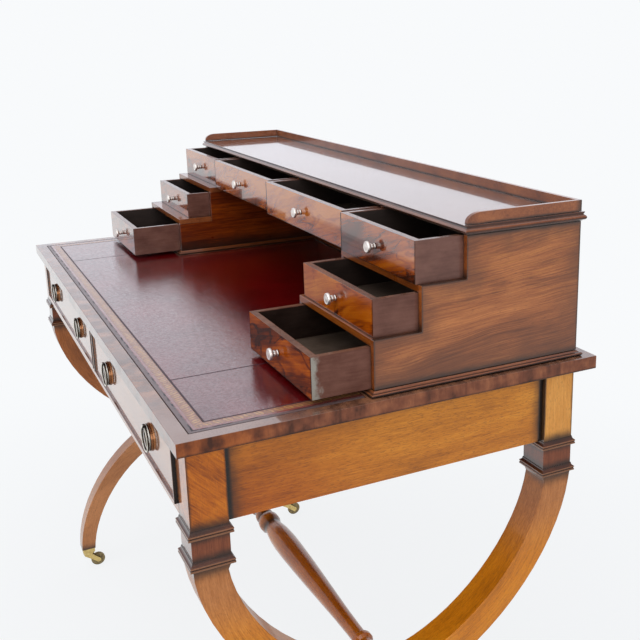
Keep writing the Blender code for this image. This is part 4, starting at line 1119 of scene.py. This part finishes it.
def make_world():
    """White surroundings that are seen and mirrored in full but light the desk only softly."""
    world = bpy.data.worlds.new("studio")
    bpy.context.scene.world = world
    world.use_nodes = True
    tree = world.node_tree
    back = tree.nodes["Background"]
    path = new_node(tree, "LightPath")
    level = new_node(tree, "MapRange")
    level.inputs["To Min"].default_value = AMBIENT
    level.inputs["To Max"].default_value = 1.0
    tint = new_node(tree, "Mix", data_type="RGBA")
    tint.inputs[6].default_value = (*FLOOR_COLOUR, 1.0)
    tint.inputs[7].default_value = (*REFLECTED_COLOUR, 1.0)
    wire(tree, (seen_share(tree, path), level.inputs["Value"]),
         (level.outputs["Result"], back.inputs["Strength"]),
         (path.outputs["Is Glossy Ray"], tint.inputs[0]), (tint.outputs[2], back.inputs["Color"]))


def softbox(name, place, width, height, radiance):
    """Area lamp whose face has the given radiance, turned to the middle of the desk."""
    lamp = bpy.data.lights.new(name, "AREA")
    lamp.shape = "RECTANGLE"
    lamp.size = width
    lamp.size_y = height
    lamp.energy = radiance * math.pi * width * height
    piece = bpy.data.objects.new(name, lamp)
    bpy.context.scene.collection.objects.link(piece)
    piece.location = place
    piece.rotation_euler = (MIDDLE - Vector(place)).to_track_quat("-Z", "Y").to_euler()


# Camera at the photograph's viewing angle

CAMERA_AZIMUTH = math.radians(63.288)
CAMERA_ELEVATION = math.radians(14.879)
CAMERA_ROLL = math.radians(-0.965)
CAMERA_PLACE = (1.5038, -0.5085, 1.2014)
CAMERA_LENS = 52.17
CAMERA_SHIFT = (-0.0927, -0.0652)
SENSOR_WIDTH = 36.0


def make_camera():
    """Camera turned by azimuth, elevation and roll."""
    level = math.cos(CAMERA_ELEVATION)
    forward = Vector((-math.sin(CAMERA_AZIMUTH) * level, math.cos(CAMERA_AZIMUTH) * level,
                      -math.sin(CAMERA_ELEVATION)))
    right = forward.cross(Vector((0.0, 0.0, 1.0))).normalized()
    up = right.cross(forward)
    side = math.cos(CAMERA_ROLL) * right + math.sin(CAMERA_ROLL) * up
    top = math.cos(CAMERA_ROLL) * up - math.sin(CAMERA_ROLL) * right
    lens = bpy.data.cameras.new("photo_view")
    lens.sensor_width = SENSOR_WIDTH
    lens.lens = CAMERA_LENS
    lens.shift_x, lens.shift_y = CAMERA_SHIFT
    camera = bpy.data.objects.new("photo_view", lens)
    bpy.context.scene.collection.objects.link(camera)
    turn = Matrix((side, top, -forward)).transposed().to_4x4()
    camera.matrix_world = Matrix.Translation(CAMERA_PLACE) @ turn
    bpy.context.scene.camera = camera


dress_wood()
dress_metal()
make_floor()
make_world()
for lamp in LAMPS:
    softbox(*lamp)
make_camera()
bpy.context.scene.view_settings.view_transform = "Standard"
